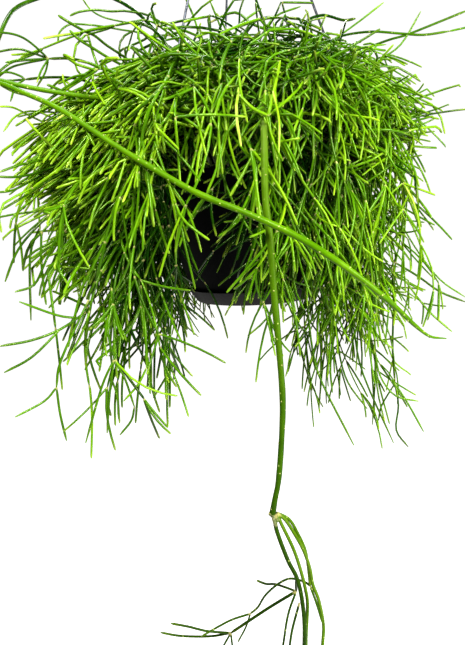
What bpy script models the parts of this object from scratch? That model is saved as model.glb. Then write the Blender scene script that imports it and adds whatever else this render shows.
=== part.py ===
"""A rhipsalis (mistletoe cactus) in a black plastic hanging pot, at rest on its wire hanger.

Units are metres and +Z is up. The origin is the inside top of the hook's crook, where
the hook rests on whatever carries it. The pot's axis is the Z axis and +Y is its back.
"""

import math
from dataclasses import dataclass

import bpy
import bmesh
from mathutils import Vector

MM = 0.001
GAP = 0.3 * MM
LATHE_STEPS = 36

# Pot, saucer and soil. Heights are measured up from the pot's rim.
RIM_Z = -350 * MM
RIM_RADIUS = 105 * MM
WALL = 1.7 * MM
FLANGE_RADIUS = 114 * MM
FLANGE_THICKNESS = 2 * MM
POT_DEPTH = 138.1 * MM
POT_FLOOR = 2 * MM
FOOT_RADIUS = 56 * MM
FOOT_BEAD = 1.4 * MM
FOOT_NECK_HEIGHT = 4.5 * MM
SHOULDER_RADIUS = 62.3 * MM
SHOULDER_DEPTH = 129 * MM
SAUCER_DEPTH = 140 * MM
SAUCER_LIP_DEPTH = 127 * MM
SAUCER_RADIUS = 66.8 * MM
SAUCER_BASE_RADIUS = 57.5 * MM
SAUCER_FLOOR = 1.6 * MM
SAUCER_SNAP_DEPTHS = (134 * MM, 135.5 * MM)
DRAIN_RADIUS = 4 * MM
DRAIN_RING_RADIUS = 34 * MM
DRAIN_COUNT = 4
SOIL_DEPTH = 15 * MM
SOCKET_DEPTH = 14 * MM

# Wire hanger.
WIRE_AZIMUTHS = {"wire_back": 105, "wire_left": 225, "wire_right": 345}
WIRE_RADIUS = 1.1 * MM
WIRE_HOLE_RADIUS = 2.25 * MM
WIRE_HOLE_RING = 109 * MM
WIRE_TURN_RADIUS = 3.4 * MM
WIRE_LOOP_RADIUS = 3.1 * MM
WIRE_EYE_ANGLES = {"wire_back": 0, "wire_left": -40, "wire_right": 40}
HOOK_WIRE_RADIUS = 1.5 * MM
HOOK_INNER_RADIUS = 14 * MM
HOOK_EYE_RADIUS = 8.4 * MM
HOOK_EYE_BOTTOM = -65 * MM

# Plant.
MAIN_STEM_RADIUS = 1.7 * MM
BRANCH_RADIUS = 1.45 * MM
TWIG_RADIUS = 1.25 * MM
THICK_STEM_RADIUS = 2.2 * MM
JOINT_PLAY = 0.2 * MM
JOINT_TRIMS = (0.56, 0.62, 0.7, 0.8, 0.9)


@dataclass(frozen=True)
class Ring:
    """One ring of shoots: where they leave the soil and the dome that they make."""

    azimuths: tuple
    base_radius: float
    crown_radius: float
    crown_height: float
    skirt_radius: float
    hang: float
    branch_azimuths: tuple
    twig_azimuths: tuple


OUTER_DOME = Ring(
    azimuths=tuple(range(13, 360, 40)),
    base_radius=24 * MM,
    crown_radius=100 * MM,
    crown_height=106 * MM,
    skirt_radius=184 * MM,
    hang=1.0,
    branch_azimuths=(-13, 0, 13),
    twig_azimuths=(-3.1, 3.1),
)
MIDDLE_DOME = Ring(
    azimuths=tuple(range(0, 360, 30)),
    base_radius=52 * MM,
    crown_radius=108 * MM,
    crown_height=70 * MM,
    skirt_radius=157 * MM,
    hang=0.82,
    branch_azimuths=(-7.4, 7.4),
    twig_azimuths=(-3.4, 3.4),
)
INNER_DOME = Ring(
    azimuths=(21, 45, 69, 93, 117, 141, 165, 189, 213, 237, 261, 285, 309, 333, 357),
    base_radius=80 * MM,
    crown_radius=112 * MM,
    crown_height=36 * MM,
    skirt_radius=133 * MM,
    hang=0.66,
    branch_azimuths=(-7.6, 0, 7.6),
    twig_azimuths=(),
)
RINGS = (OUTER_DOME, MIDDLE_DOME, INNER_DOME)

# The dome is not even all round: each entry is (azimuth, width in degrees, amount).
HANG_MEAN = 190 * MM
HANG_LOBES = ((200, 34, 62 * MM), (325, 30, 88 * MM), (268, 22, -48 * MM))
SPREAD_LOBES = ((196, 34, 0.30), (338, 40, 0.11))

# Two long thick shoots, as points (x, y, height above the rim) in millimetres.
LONG_SHOOT_LINE = (
    (1, -12, 22), (1, -26, 66), (3, -62, 94), (6, -112, 90), (8, -152, 58), (5, -176, 24),
    (3, -196, -4), (1, -210, -40), (3, -212, -76), (4, -212, -107), (7, -212, -165),
    (5, -212, -212), (-1, -212, -253), (-3, -211, -264),
)
LONG_SHOOT_WHORL = (
    ((-3, -211, -264), (13, -205, -285), (23, -202, -314), (29, -200, -341), (31, -200, -382),
     (35, -199, -404), (49, -210, -454)),
    ((-3, -211, -264), (-1, -213, -276), (6, -214, -298), (15, -216, -329), (14, -214, -384),
     (8, -216, -414), (1, -223, -460)),
    ((-3, -211, -264), (-1, -207, -282), (6, -200, -312), (2, -195, -336), (-14, -189, -356),
     (-38, -182, -378), (-55, -178, -383), (-95, -168, -385)),
)
ARCHING_PARENT_LINE = (
    (-7, -9, 22), (-18, -24, 58), (-46, -62, 84), (-76, -102, 66), (-94, -122, 44),
    (-110, -131, 34), (-143, -131, 37), (-172, -130, 45), (-199, -124, 52),
)
ARCHING_SHOOT_LINE = (
    (-199, -124, 52), (-171, -134, 40), (-139, -150, 23), (-97, -171, -7), (-67, -188, -27),
    (-41, -203, -43), (14, -231, -70), (37, -236, -85), (80, -222, -120), (109, -203, -145),
    (123, -195, -149),
)


def clear_scene():
    for leftover in list(bpy.data.objects):
        bpy.data.objects.remove(leftover, do_unlink=True)


def new_collection(name, helper=False):
    """Return a new collection in the scene; a helper collection is left out of renders."""
    group = bpy.data.collections.new(name)
    bpy.context.scene.collection.children.link(group)
    group.hide_render = helper
    return group


def principled(name, colour, roughness, metallic=0.0):
    material = bpy.data.materials.new(name)
    material.use_nodes = True
    shader = material.node_tree.nodes["Principled BSDF"]
    shader.inputs["Base Color"].default_value = (*colour, 1)
    shader.inputs["Roughness"].default_value = roughness
    shader.inputs["Metallic"].default_value = metallic
    material.diffuse_color = (*colour, 1)
    return material


def wobble(index, salt):
    """Return a fixed, irregular number from -1 to 1 for this index."""
    value = math.sin(index * 12.9898 + salt * 78.233) * 43758.5453
    return 2 * (value - math.floor(value)) - 1


def lobe(azimuth, lobes):
    """Return the sum of bell-shaped bumps round the plant at this azimuth."""
    total = 0.0
    for centre, width, amount in lobes:
        away = (azimuth - centre + 180) % 360 - 180
        total += amount * math.exp(-((away / width) ** 2))
    return total


def polar(radius, azimuth, height):
    angle = math.radians(azimuth)
    return Vector((radius * math.cos(angle), radius * math.sin(angle), height))


def smooth_line(points, per_span):
    """Return points along the smooth line through the given points (Catmull-Rom)."""
    padded = [2 * points[0] - points[1], *points, 2 * points[-1] - points[-2]]
    line = []
    for span in range(len(points) - 1):
        before, start, end, after = padded[span : span + 4]
        for step in range(per_span):
            t = step / per_span
            line.append(
                0.5
                * (
                    2 * start
                    + (end - before) * t
                    + (2 * before - 5 * start + 4 * end - after) * t**2
                    + (3 * start - before - 3 * end + after) * t**3
                )
            )
    line.append(points[-1].copy())
    return line


def tube(name, line, radii, resolution, group):
    """Return a capped tube along the line, as a closed mesh object."""
    curve = bpy.data.curves.new(name, "CURVE")
    curve.dimensions = "3D"
    curve.bevel_depth = 1.0
    curve.bevel_resolution = resolution
    curve.use_fill_caps = True
    spline = curve.splines.new("POLY")
    spline.points.add(len(line) - 1)
    for place, (point, radius) in enumerate(zip(line, radii)):
        spline.points[place].co = (*point, 1)
        spline.points[place].radius = radius
    guide = bpy.data.objects.new(name, curve)
    group.objects.link(guide)
    bpy.context.view_layer.update()
    evaluated = guide.evaluated_get(bpy.context.evaluated_depsgraph_get())
    mesh = bpy.data.meshes.new_from_object(evaluated)
    bpy.data.objects.remove(guide, do_unlink=True)
    bpy.data.curves.remove(curve)
    weld(mesh)
    mesh.name = name
    piece = bpy.data.objects.new(name, mesh)
    group.objects.link(piece)
    return piece


def weld(mesh):
    shape = bmesh.new()
    shape.from_mesh(mesh)
    bmesh.ops.remove_doubles(shape, verts=shape.verts, dist=0.001 * MM)
    bmesh.ops.recalc_face_normals(shape, faces=shape.faces)
    shape.to_mesh(mesh)
    shape.free()


def finish(piece, material, smooth_angle=40):
    piece.data.materials.clear()
    piece.data.materials.append(material)
    piece.data.shade_smooth()
    piece.data.set_sharp_from_angle(angle=math.radians(smooth_angle))


def union(name, stems, parts):
    """Return the stems, which meet at their joints, as one closed mesh object."""
    body, *branches = stems
    joined = bpy.data.collections.new(name + "_branches")
    bpy.context.scene.collection.children.link(joined)
    for branch in branches:
        for owner in list(branch.users_collection):
            owner.objects.unlink(branch)
        joined.objects.link(branch)
    boolean = body.modifiers.new("Join the branches", "BOOLEAN")
    boolean.operation = "UNION"
    boolean.operand_type = "COLLECTION"
    boolean.collection = joined
    boolean.solver = "EXACT"
    bpy.context.view_layer.update()
    evaluated = body.evaluated_get(bpy.context.evaluated_depsgraph_get())
    mesh = bpy.data.meshes.new_from_object(evaluated)
    for stem in stems:
        bpy.data.objects.remove(stem, do_unlink=True)
    bpy.data.collections.remove(joined)
    mesh.name = name
    piece = bpy.data.objects.new(name, mesh)
    parts.objects.link(piece)
    return trimmed(piece)


def is_closed(mesh):
    shape = bmesh.new()
    shape.from_mesh(mesh)
    closed = all(len(edge.link_faces) == 2 for edge in shape.edges)
    shape.free()
    return closed


def trimmed(piece):
    """Merge the sliver faces round the joints, as far as the surface stays closed."""
    for share in JOINT_TRIMS:
        decimate = piece.modifiers.new("Merge slivers", "DECIMATE")
        decimate.ratio = share
        decimate.use_collapse_triangulate = True
        bpy.context.view_layer.update()
        evaluated = piece.evaluated_get(bpy.context.evaluated_depsgraph_get())
        mesh = bpy.data.meshes.new_from_object(evaluated)
        piece.modifiers.remove(decimate)
        if is_closed(mesh):
            piece.data = mesh
            break
    return piece


def turned(name, profile, parts):
    """Return a body turned about the Z axis; the profile runs down its outer side."""
    mesh = bpy.data.meshes.new(name)
    points = [(radius, 0, RIM_Z + height) for radius, height in profile]
    edges = [(place, place + 1) for place in range(len(points) - 1)]
    mesh.from_pydata(points, edges, [])
    piece = bpy.data.objects.new(name, mesh)
    parts.objects.link(piece)
    screw = piece.modifiers.new("Turn", "SCREW")
    screw.steps = LATHE_STEPS
    screw.render_steps = LATHE_STEPS
    screw.use_merge_vertices = True
    screw.merge_threshold = 0.01 * MM
    screw.use_smooth_shade = False
    return piece


def cut(piece, cutters):
    boolean = piece.modifiers.new("Cut the holes", "BOOLEAN")
    boolean.operation = "DIFFERENCE"
    boolean.operand_type = "COLLECTION"
    boolean.collection = cutters
    boolean.solver = "EXACT"


def hole_cutter(name, centre, radius, height, sides, cutters):
    shape = bmesh.new()
    bmesh.ops.create_cone(
        shape, cap_ends=True, segments=sides, radius1=radius, radius2=radius, depth=height
    )
    mesh = bpy.data.meshes.new(name)
    shape.to_mesh(mesh)
    shape.free()
    cutter = bpy.data.objects.new(name, mesh)
    cutter.location = centre
    cutter.hide_render = True
    cutter.display_type = "WIRE"
    cutters.objects.link(cutter)


def inner_wall_radius(height):
    """Return the radius of the pot's inner wall at this height above the rim."""
    share = -height / SHOULDER_DEPTH
    return (RIM_RADIUS - WALL) * (1 - share) + (SHOULDER_RADIUS - WALL) * share


def build_pot(parts, cutters):
    neck = -POT_DEPTH + FOOT_NECK_HEIGHT
    profile = [
        (0, -POT_DEPTH + POT_FLOOR),
        (FOOT_RADIUS - WALL, -POT_DEPTH + POT_FLOOR),
        (FOOT_RADIUS - WALL, neck),
        (SHOULDER_RADIUS - WALL, -SHOULDER_DEPTH),
        (RIM_RADIUS - WALL, 0),
        (FLANGE_RADIUS, 0),
        (FLANGE_RADIUS, -FLANGE_THICKNESS),
        (RIM_RADIUS - FLANGE_THICKNESS / 3, -FLANGE_THICKNESS),
        (SHOULDER_RADIUS, -SHOULDER_DEPTH),
        (FOOT_RADIUS, neck),
        (FOOT_RADIUS, -POT_DEPTH + 2.3 * MM),
        (FOOT_RADIUS + FOOT_BEAD, -POT_DEPTH + 1.7 * MM),
        (FOOT_RADIUS + FOOT_BEAD, -POT_DEPTH + 0.9 * MM),
        (FOOT_RADIUS, -POT_DEPTH),
        (0, -POT_DEPTH),
    ]
    pot = turned("pot", profile, parts)
    for name, azimuth in WIRE_AZIMUTHS.items():
        centre = polar(WIRE_HOLE_RING, azimuth, RIM_Z - FLANGE_THICKNESS / 2)
        hole_cutter("hole_" + name, centre, WIRE_HOLE_RADIUS, 3 * FLANGE_THICKNESS, 12, cutters)
    for place in range(DRAIN_COUNT):
        azimuth = 360 * place / DRAIN_COUNT
        centre = polar(DRAIN_RING_RADIUS, azimuth, RIM_Z - POT_DEPTH + POT_FLOOR / 2)
        hole_cutter("drain_hole", centre, DRAIN_RADIUS, 3 * POT_FLOOR, 12, cutters)
    cut(pot, cutters)
    finish(pot, principled("black pot plastic", (0.018, 0.019, 0.021), 0.42))


def build_saucer(parts):
    floor = -SAUCER_DEPTH + SAUCER_FLOOR
    snap_top, snap_bottom = SAUCER_SNAP_DEPTHS
    bead_wall = FOOT_RADIUS + FOOT_BEAD + 0.4 * MM
    snap_radius = FOOT_RADIUS + 0.35 * MM
    profile = [
        (0, floor),
        (FOOT_RADIUS + 0.6 * MM, floor),
        (bead_wall, floor + 1.0 * MM),
        (bead_wall, -snap_bottom),
        (snap_radius, -snap_bottom),
        (snap_radius, -snap_top),
        (SHOULDER_RADIUS - 2 * MM, -snap_top),
        (SAUCER_RADIUS - WALL, -SAUCER_LIP_DEPTH),
        (SAUCER_RADIUS, -SAUCER_LIP_DEPTH),
        (SAUCER_BASE_RADIUS, -SAUCER_DEPTH),
        (0, -SAUCER_DEPTH),
    ]
    saucer = turned("drip_saucer", profile, parts)
    finish(saucer, principled("black saucer plastic", (0.022, 0.023, 0.026), 0.38))


def build_soil(feet, parts, cutters):
    """Build the soil plug, with one close socket for the foot of each shoot."""
    clearance = 0.4 * MM
    profile = [
        (0, -SOIL_DEPTH),
        (inner_wall_radius(-SOIL_DEPTH) - clearance, -SOIL_DEPTH),
        (SHOULDER_RADIUS - WALL - clearance, -SHOULDER_DEPTH + GAP),
        (FOOT_RADIUS - WALL - clearance, -POT_DEPTH + FOOT_NECK_HEIGHT + GAP),
        (FOOT_RADIUS - WALL - clearance, -POT_DEPTH + POT_FLOOR + GAP),
        (0, -POT_DEPTH + POT_FLOOR + GAP),
    ]
    soil = turned("soil", profile, parts)
    for foot, radius in feet:
        centre = Vector((foot.x, foot.y, RIM_Z - SOIL_DEPTH))
        socket = (radius + GAP) / math.cos(math.pi / 6)
        hole_cutter("socket", centre, socket, 2 * SOCKET_DEPTH, 6, cutters)
    cut(soil, cutters)
    finish(soil, principled("potting soil", (0.045, 0.028, 0.017), 0.95))


def build_wire(name, parts, steel):
    """Build one hanger wire: a loop on the hook's eye, a shank and a turn under the flange."""
    eye_angle = math.radians(WIRE_EYE_ANGLES[name])
    outward = Vector((math.sin(eye_angle), 0, -math.cos(eye_angle)))
    eye_centre = Vector((0, 0, HOOK_EYE_BOTTOM + HOOK_EYE_RADIUS))
    play = WIRE_LOOP_RADIUS - WIRE_RADIUS - HOOK_WIRE_RADIUS - GAP
    centre = eye_centre + outward * (HOOK_EYE_RADIUS + play)
    azimuth = WIRE_AZIMUTHS[name]
    side = Vector((0, math.copysign(1, math.sin(math.radians(azimuth))), 0))

    loop_steps = 12
    tip_angle = -90 - 180 - 28
    line = []
    for step in range(loop_steps + 1):
        angle = math.radians(tip_angle * (1 - step / loop_steps))
        line.append(
            centre
            + side * (WIRE_LOOP_RADIUS * math.cos(angle))
            + outward * (WIRE_LOOP_RADIUS * math.sin(angle))
        )
    line.append(line[-1] + outward * 6 * MM)

    radial = polar(1, azimuth, 0)
    hole_edge = WIRE_HOLE_RING + WIRE_HOLE_RADIUS
    flange_edge = FLANGE_RADIUS * math.cos(math.pi / LATHE_STEPS)
    web = flange_edge - hole_edge
    turn_inside = WIRE_TURN_RADIUS - WIRE_RADIUS - GAP
    turn_height = math.sqrt(turn_inside**2 - (web / 2) ** 2) - FLANGE_THICKNESS - 0.1 * MM
    turn_centre = radial * (hole_edge + web / 2) + Vector((0, 0, RIM_Z + turn_height))
    inner_leg = turn_centre - radial * WIRE_TURN_RADIUS
    line.append(inner_leg + Vector((0, 0, 5 * MM)))
    turn_steps = 8
    for step in range(turn_steps + 1):
        angle = math.pi * step / turn_steps
        line.append(
            turn_centre
            - radial * (WIRE_TURN_RADIUS * math.cos(angle))
            - Vector((0, 0, WIRE_TURN_RADIUS * math.sin(angle)))
        )
    line.append(line[-1] + Vector((0, 0, 4 * MM)))
    wire = tube(name, line, [WIRE_RADIUS] * len(line), 2, parts)
    finish(wire, steel)


def build_hook(parts, steel):
    """Build the hook: an open crook at the top and an eye that carries the three wires."""
    crook_radius = HOOK_INNER_RADIUS + HOOK_WIRE_RADIUS
    crook_centre = Vector((0, 0, -HOOK_INNER_RADIUS))
    line = []
    crook_steps = 16
    for step in range(crook_steps + 1):
        angle = math.radians(205 - 260 * step / crook_steps)
        line.append(
            crook_centre
            + Vector((crook_radius * math.cos(angle), 0, crook_radius * math.sin(angle)))
        )
    eye_top = HOOK_EYE_BOTTOM + 2 * HOOK_EYE_RADIUS
    line.append(Vector((3.2 * MM, 0, eye_top + 13 * MM)))
    line.append(Vector((0.6 * MM, 0, eye_top + 9 * MM)))
    line.append(Vector((0, 0, eye_top + 3.5 * MM)))
    eye_centre = Vector((0, 0, HOOK_EYE_BOTTOM + HOOK_EYE_RADIUS))
    eye_steps = 20
    for step in range(eye_steps + 1):
        angle = math.radians(90 - 16 - (360 - 16 - 15) * step / eye_steps)
        line.append(
            eye_centre
            + Vector((HOOK_EYE_RADIUS * math.cos(angle), 0, HOOK_EYE_RADIUS * math.sin(angle)))
        )
    hook = tube("top_hook", line, [HOOK_WIRE_RADIUS] * len(line), 2, parts)
    finish(hook, steel)


def ring_line(ring, azimuth):
    """Return the line of this ring's dome at one azimuth, as points (radius, height)."""
    spread = 1 + lobe(azimuth, SPREAD_LOBES)
    skirt = ring.skirt_radius * (0.35 + 0.65 * spread)
    hem = ring.skirt_radius * spread
    crown = ring.crown_radius
    height = ring.crown_height
    hang = ring.hang * (HANG_MEAN + lobe(azimuth, HANG_LOBES))
    rise = ring.base_radius + 0.13 * (crown - ring.base_radius)
    return [
        Vector((ring.base_radius, -SOIL_DEPTH + 2 * MM)),
        Vector((rise, 0.48 * height)),
        Vector((0.45 * rise + 0.55 * crown, 0.92 * height)),
        Vector((crown + 0.1 * (skirt - crown), height)),
        Vector((crown + 0.72 * (skirt - crown), 0.68 * height)),
        Vector((skirt, 0.04 * height)),
        Vector((0.4 * skirt + 0.6 * hem, -0.42 * hang)),
        Vector((hem, -0.74 * hang)),
        Vector((0.985 * hem, -hang)),
    ]


def stem_line(ring, first, last, azimuths, shifts, steps):
    """Return points along the dome from one share of its line to another.

    The stem leaves its joint at once for its own azimuth and its own small shift
    outwards, so that the stems of one whorl fan apart.
    """
    fine = smooth_line(ring_line(ring, azimuths[1]), 8)
    start = smooth_line(ring_line(ring, azimuths[0]), 8)
    line = []
    for step in range(steps + 1):
        share = step / steps
        place = (first + (last - first) * share) * (len(fine) - 1)
        index = min(int(place), len(fine) - 2)
        blend = 1 - (1 - share) ** 2.4
        along = fine[index].lerp(fine[index + 1], place - index)
        before = start[index].lerp(start[index + 1], place - index)
        flat = before.lerp(along, blend)
        azimuth = azimuths[0] + (azimuths[1] - azimuths[0]) * blend
        shift = shifts[0] + (shifts[1] - shifts[0]) * blend
        line.append(polar(flat.x + shift, azimuth, RIM_Z + flat.y))
    return line


def step_back(line, distance, key):
    """Start the line a little earlier, inside the stem that it grows from."""
    away = (line[1] - line[0]).normalized()
    aside = Vector((wobble(key, 7), wobble(key, 8), wobble(key, 9))) * JOINT_PLAY
    line[0] = line[0] - away * distance + aside
    return line


def build_shoot(name, ring, azimuth, index, parts, helpers, green):
    """Build one shoot: a stem that rises from the soil and a fan of whorls over the rim."""
    first_fork = 0.40 + 0.02 * wobble(index, 1)
    second_fork = 0.70 + 0.02 * wobble(index, 2)
    trunk = stem_line(ring, 0, first_fork, (azimuth, azimuth), (0, 0), 7)
    foot = trunk[0].copy()
    foot.z = RIM_Z - SOIL_DEPTH - SOCKET_DEPTH + 2 * MM
    trunk.insert(0, foot)
    stems = [tube(name, trunk, [MAIN_STEM_RADIUS] * len(trunk), 1, helpers)]
    for fork, fan in enumerate(ring.branch_azimuths):
        key = 10 * index + fork
        fork_azimuth = azimuth + fan + 0.9 * wobble(key, 10)
        fork_shift = 5 * MM * wobble(key, 3)
        end = second_fork if ring.twig_azimuths else 1 - 0.06 * (1 + wobble(key, 4))
        steps = 5 if ring.twig_azimuths else 7
        branch = stem_line(
            ring, first_fork, end, (azimuth, fork_azimuth), (0, fork_shift), steps
        )
        step_back(branch, 0.8 * MM, key)
        stems.append(tube(name + "_branch", branch, [BRANCH_RADIUS] * len(branch), 0, helpers))
        for twig, aside in enumerate(ring.twig_azimuths):
            key = 100 * index + 10 * fork + twig
            twig_azimuth = fork_azimuth + aside + 0.5 * wobble(key, 11)
            twig_shift = fork_shift + 6 * MM * wobble(key, 5)
            end = 1 - 0.07 * (1 + wobble(key, 6))
            azimuths = (fork_azimuth, twig_azimuth)
            line = stem_line(ring, second_fork, end, azimuths, (fork_shift, twig_shift), 4)
            step_back(line, 0.8 * MM, key)
            radii = [TWIG_RADIUS * (1 - 0.25 * place / 4) for place in range(len(line))]
            stems.append(tube(name + "_twig", line, radii, 0, helpers))
    shoot = union(name, stems, parts)
    finish(shoot, green)
    return foot, MAIN_STEM_RADIUS


def placed(points):
    return [Vector((x * MM, y * MM, RIM_Z + z * MM)) for x, y, z in points]


def thick_stem(name, points, radii, helpers, grounded, key=0):
    """Return a long thick stem through the points; a grounded one starts in the soil."""
    line = smooth_line(placed(points), 2)
    if grounded:
        surface = Vector((line[0].x, line[0].y, RIM_Z - SOIL_DEPTH + 2 * MM))
        foot = Vector((line[0].x, line[0].y, RIM_Z - SOIL_DEPTH - SOCKET_DEPTH + 2 * MM))
        line = [foot, surface, *line]
    else:
        step_back(line, 1.0 * MM, key)
    sizes = []
    for place in range(len(line)):
        share = place / (len(line) - 1)
        sizes.append(radii[0] + (radii[1] - radii[0]) * share)
    return tube(name, line, sizes, 1, helpers), line[0]


def build_long_hanging_shoot(parts, helpers, green):
    """Build the long shoot that hangs in front of the pot, with a whorl at its end."""
    stem, foot = thick_stem(
        "long_stem", LONG_SHOOT_LINE, (THICK_STEM_RADIUS, THICK_STEM_RADIUS), helpers, True
    )
    stems = [stem]
    for key, points in enumerate(LONG_SHOOT_WHORL):
        branch, _ = thick_stem(
            "long_branch", points, (1.7 * MM, TWIG_RADIUS), helpers, False, key + 1
        )
        stems.append(branch)
    shoot = union("long_hanging_shoot", stems, parts)
    finish(shoot, green)
    return foot, THICK_STEM_RADIUS


def build_arching_shoot(parts, helpers, green):
    """Build the shoot that crosses the plant from the upper left to the lower right."""
    parent, foot = thick_stem(
        "arching_parent", ARCHING_PARENT_LINE, (THICK_STEM_RADIUS, 1.8 * MM), helpers, True
    )
    arch, _ = thick_stem(
        "arching_stem", ARCHING_SHOOT_LINE, (THICK_STEM_RADIUS, TWIG_RADIUS), helpers, False
    )
    shoot = union("arching_shoot", [parent, arch], parts)
    finish(shoot, green)
    return foot, THICK_STEM_RADIUS


def main():
    clear_scene()
    parts = new_collection("potted_rhipsalis")
    pot_cutters = new_collection("pot_cutters", helper=True)
    soil_cutters = new_collection("soil_cutters", helper=True)
    helpers = new_collection("stems_in_the_making", helper=True)

    steel = principled("hanger wire", (0.35, 0.36, 0.38), 0.32, 1.0)
    build_pot(parts, pot_cutters)
    build_saucer(parts)
    for name in WIRE_AZIMUTHS:
        build_wire(name, parts, steel)
    build_hook(parts, steel)

    feet = []
    index = 0
    for ring in RINGS:
        for azimuth in ring.azimuths:
            index += 1
            name = f"shoot_{index:02d}"
            shade = 0.12 * wobble(index, 9)
            green = principled(name + " green", (0.12 + 0.3 * abs(shade), 0.34 + shade, 0.03), 0.4)
            feet.append(build_shoot(name, ring, azimuth, index, parts, helpers, green))
    grey_green = principled("long shoot green", (0.13, 0.27, 0.07), 0.38)
    bright_green = principled("arching shoot green", (0.22, 0.42, 0.05), 0.38)
    feet.append(build_long_hanging_shoot(parts, helpers, grey_green))
    feet.append(build_arching_shoot(parts, helpers, bright_green))
    build_soil(feet, parts, soil_cutters)


main()
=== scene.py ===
"""Looks for a potted rhipsalis in a hanging pot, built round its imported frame.

The plant is a mop of thin jointed stems. Each shoot of the frame becomes a bush of its
own: stems rise from the soil, fork in whorls, lean outwards over the rim and droop.
Lengths are in metres and heights are measured up from the pot's rim, unless a class says
otherwise. Azimuths are in degrees, from +X towards +Y.
"""

import logging
import math
import random
from collections.abc import Sequence
from dataclasses import dataclass
from enum import Enum

import bmesh
import bpy
import numpy as np
from mathutils import Matrix, Quaternion, Vector, noise


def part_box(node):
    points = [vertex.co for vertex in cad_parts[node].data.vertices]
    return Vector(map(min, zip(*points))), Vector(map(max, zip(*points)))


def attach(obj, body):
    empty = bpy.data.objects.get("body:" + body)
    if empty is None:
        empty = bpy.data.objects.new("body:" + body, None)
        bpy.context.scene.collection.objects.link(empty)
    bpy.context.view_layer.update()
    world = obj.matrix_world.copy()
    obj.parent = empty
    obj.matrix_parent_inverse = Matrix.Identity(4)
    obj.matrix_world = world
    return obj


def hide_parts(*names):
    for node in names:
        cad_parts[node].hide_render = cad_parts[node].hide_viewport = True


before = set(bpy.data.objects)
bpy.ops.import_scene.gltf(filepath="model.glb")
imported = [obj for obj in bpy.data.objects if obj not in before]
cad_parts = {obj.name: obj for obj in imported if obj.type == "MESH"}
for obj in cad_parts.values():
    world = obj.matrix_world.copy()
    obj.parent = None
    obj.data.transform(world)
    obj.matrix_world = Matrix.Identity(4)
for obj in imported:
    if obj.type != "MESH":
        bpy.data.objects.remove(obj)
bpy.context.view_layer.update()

LOG = logging.getLogger("rhipsalis")
MM = 0.001
RIM_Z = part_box("pot")[1].z
POT_FOOT_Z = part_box("drip_saucer")[0].z
SOIL_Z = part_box("soil")[1].z
CAMERA_PLACE = (-0.024, -0.600, -0.407)
SHARP_ANGLE = math.radians(40)
WARM_WHITE = (1.0, 0.99, 0.975, 1)

Socket = bpy.types.NodeSocket
Colour = tuple[float, float, float]
Point = tuple[float, float, float]
Band = tuple[float, float]
Lobes = tuple[tuple[float, float, float], ...]


def ramp01(value: float, low: float, high: float) -> float:
    """Return how far a value is from low to high, eased and held between 0 and 1."""
    share = min(1.0, max(0.0, (value - low) / (high - low)))
    return share * share * (3 - 2 * share)


def lobe(azimuth: float, lobes: Lobes) -> float:
    """Add up bell-shaped bumps round the plant.

    Args:
        azimuth: Direction in degrees, counted from +X towards +Y.
        lobes: Entries of (azimuth, width in degrees, amount).

    Returns:
        The sum of all bumps at this azimuth.
    """
    total = 0.0
    for centre, width, amount in lobes:
        away = (azimuth - centre + 180) % 360 - 180
        total += amount * math.exp(-((away / width) ** 2))
    return total


def outward(azimuth: float) -> Vector:
    """Return the level unit vector that points this way from the pot's axis."""
    angle = math.radians(azimuth)
    return Vector((math.cos(angle), math.sin(angle), 0))


def azimuth_of(place: Vector) -> float:
    """Return the azimuth of a place round the pot's axis, from 0 to 360 degrees."""
    return math.degrees(math.atan2(place.y, place.x)) % 360


def smooth_line(points: Sequence[Vector], per_span: int) -> list[Vector]:
    """Return points along the smooth line through the given points.

    Args:
        points: Places that the line passes through.
        per_span: Number of steps from each place to the next.

    Returns:
        The places of a Catmull-Rom line, first and last included.
    """
    padded = [2 * points[0] - points[1], *points, 2 * points[-1] - points[-2]]
    line = []
    for span in range(len(points) - 1):
        before, start, end, after = padded[span : span + 4]
        for step in range(per_span):
            t = step / per_span
            line.append(
                0.5
                * (
                    2 * start
                    + (end - before) * t
                    + (2 * before - 5 * start + 4 * end - after) * t**2
                    + (3 * start - before - 3 * end + after) * t**3
                )
            )
    line.append(Vector(points[-1]))
    return line


def raised(pair: Band, share: float) -> float:
    """Return the first number of a pair plus this share of the second."""
    return pair[0] + pair[1] * share


def even_shares(count: int) -> list[float]:
    """Return this many numbers, evenly spaced from 0 to 1."""
    return [place / (count - 1) for place in range(count)]


def new_object(name: str, data: bpy.types.ID) -> bpy.types.Object:
    """Put a new object in the scene, at its origin.

    Args:
        name: Its name.
        data: The mesh, light or camera that it shows.

    Returns:
        The object.
    """
    made = bpy.data.objects.new(name, data)
    bpy.context.scene.collection.objects.link(made)
    return made


def shape_object(name: str, shape: bmesh.types.BMesh) -> bpy.types.Object:
    """Make an object from a finished edit mesh, which is freed.

    Args:
        name: Name of the object and of its mesh.
        shape: The edit mesh.

    Returns:
        The object, at the origin.
    """
    mesh = bpy.data.meshes.new(name)
    shape.to_mesh(mesh)
    shape.free()
    return new_object(name, mesh)


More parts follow.
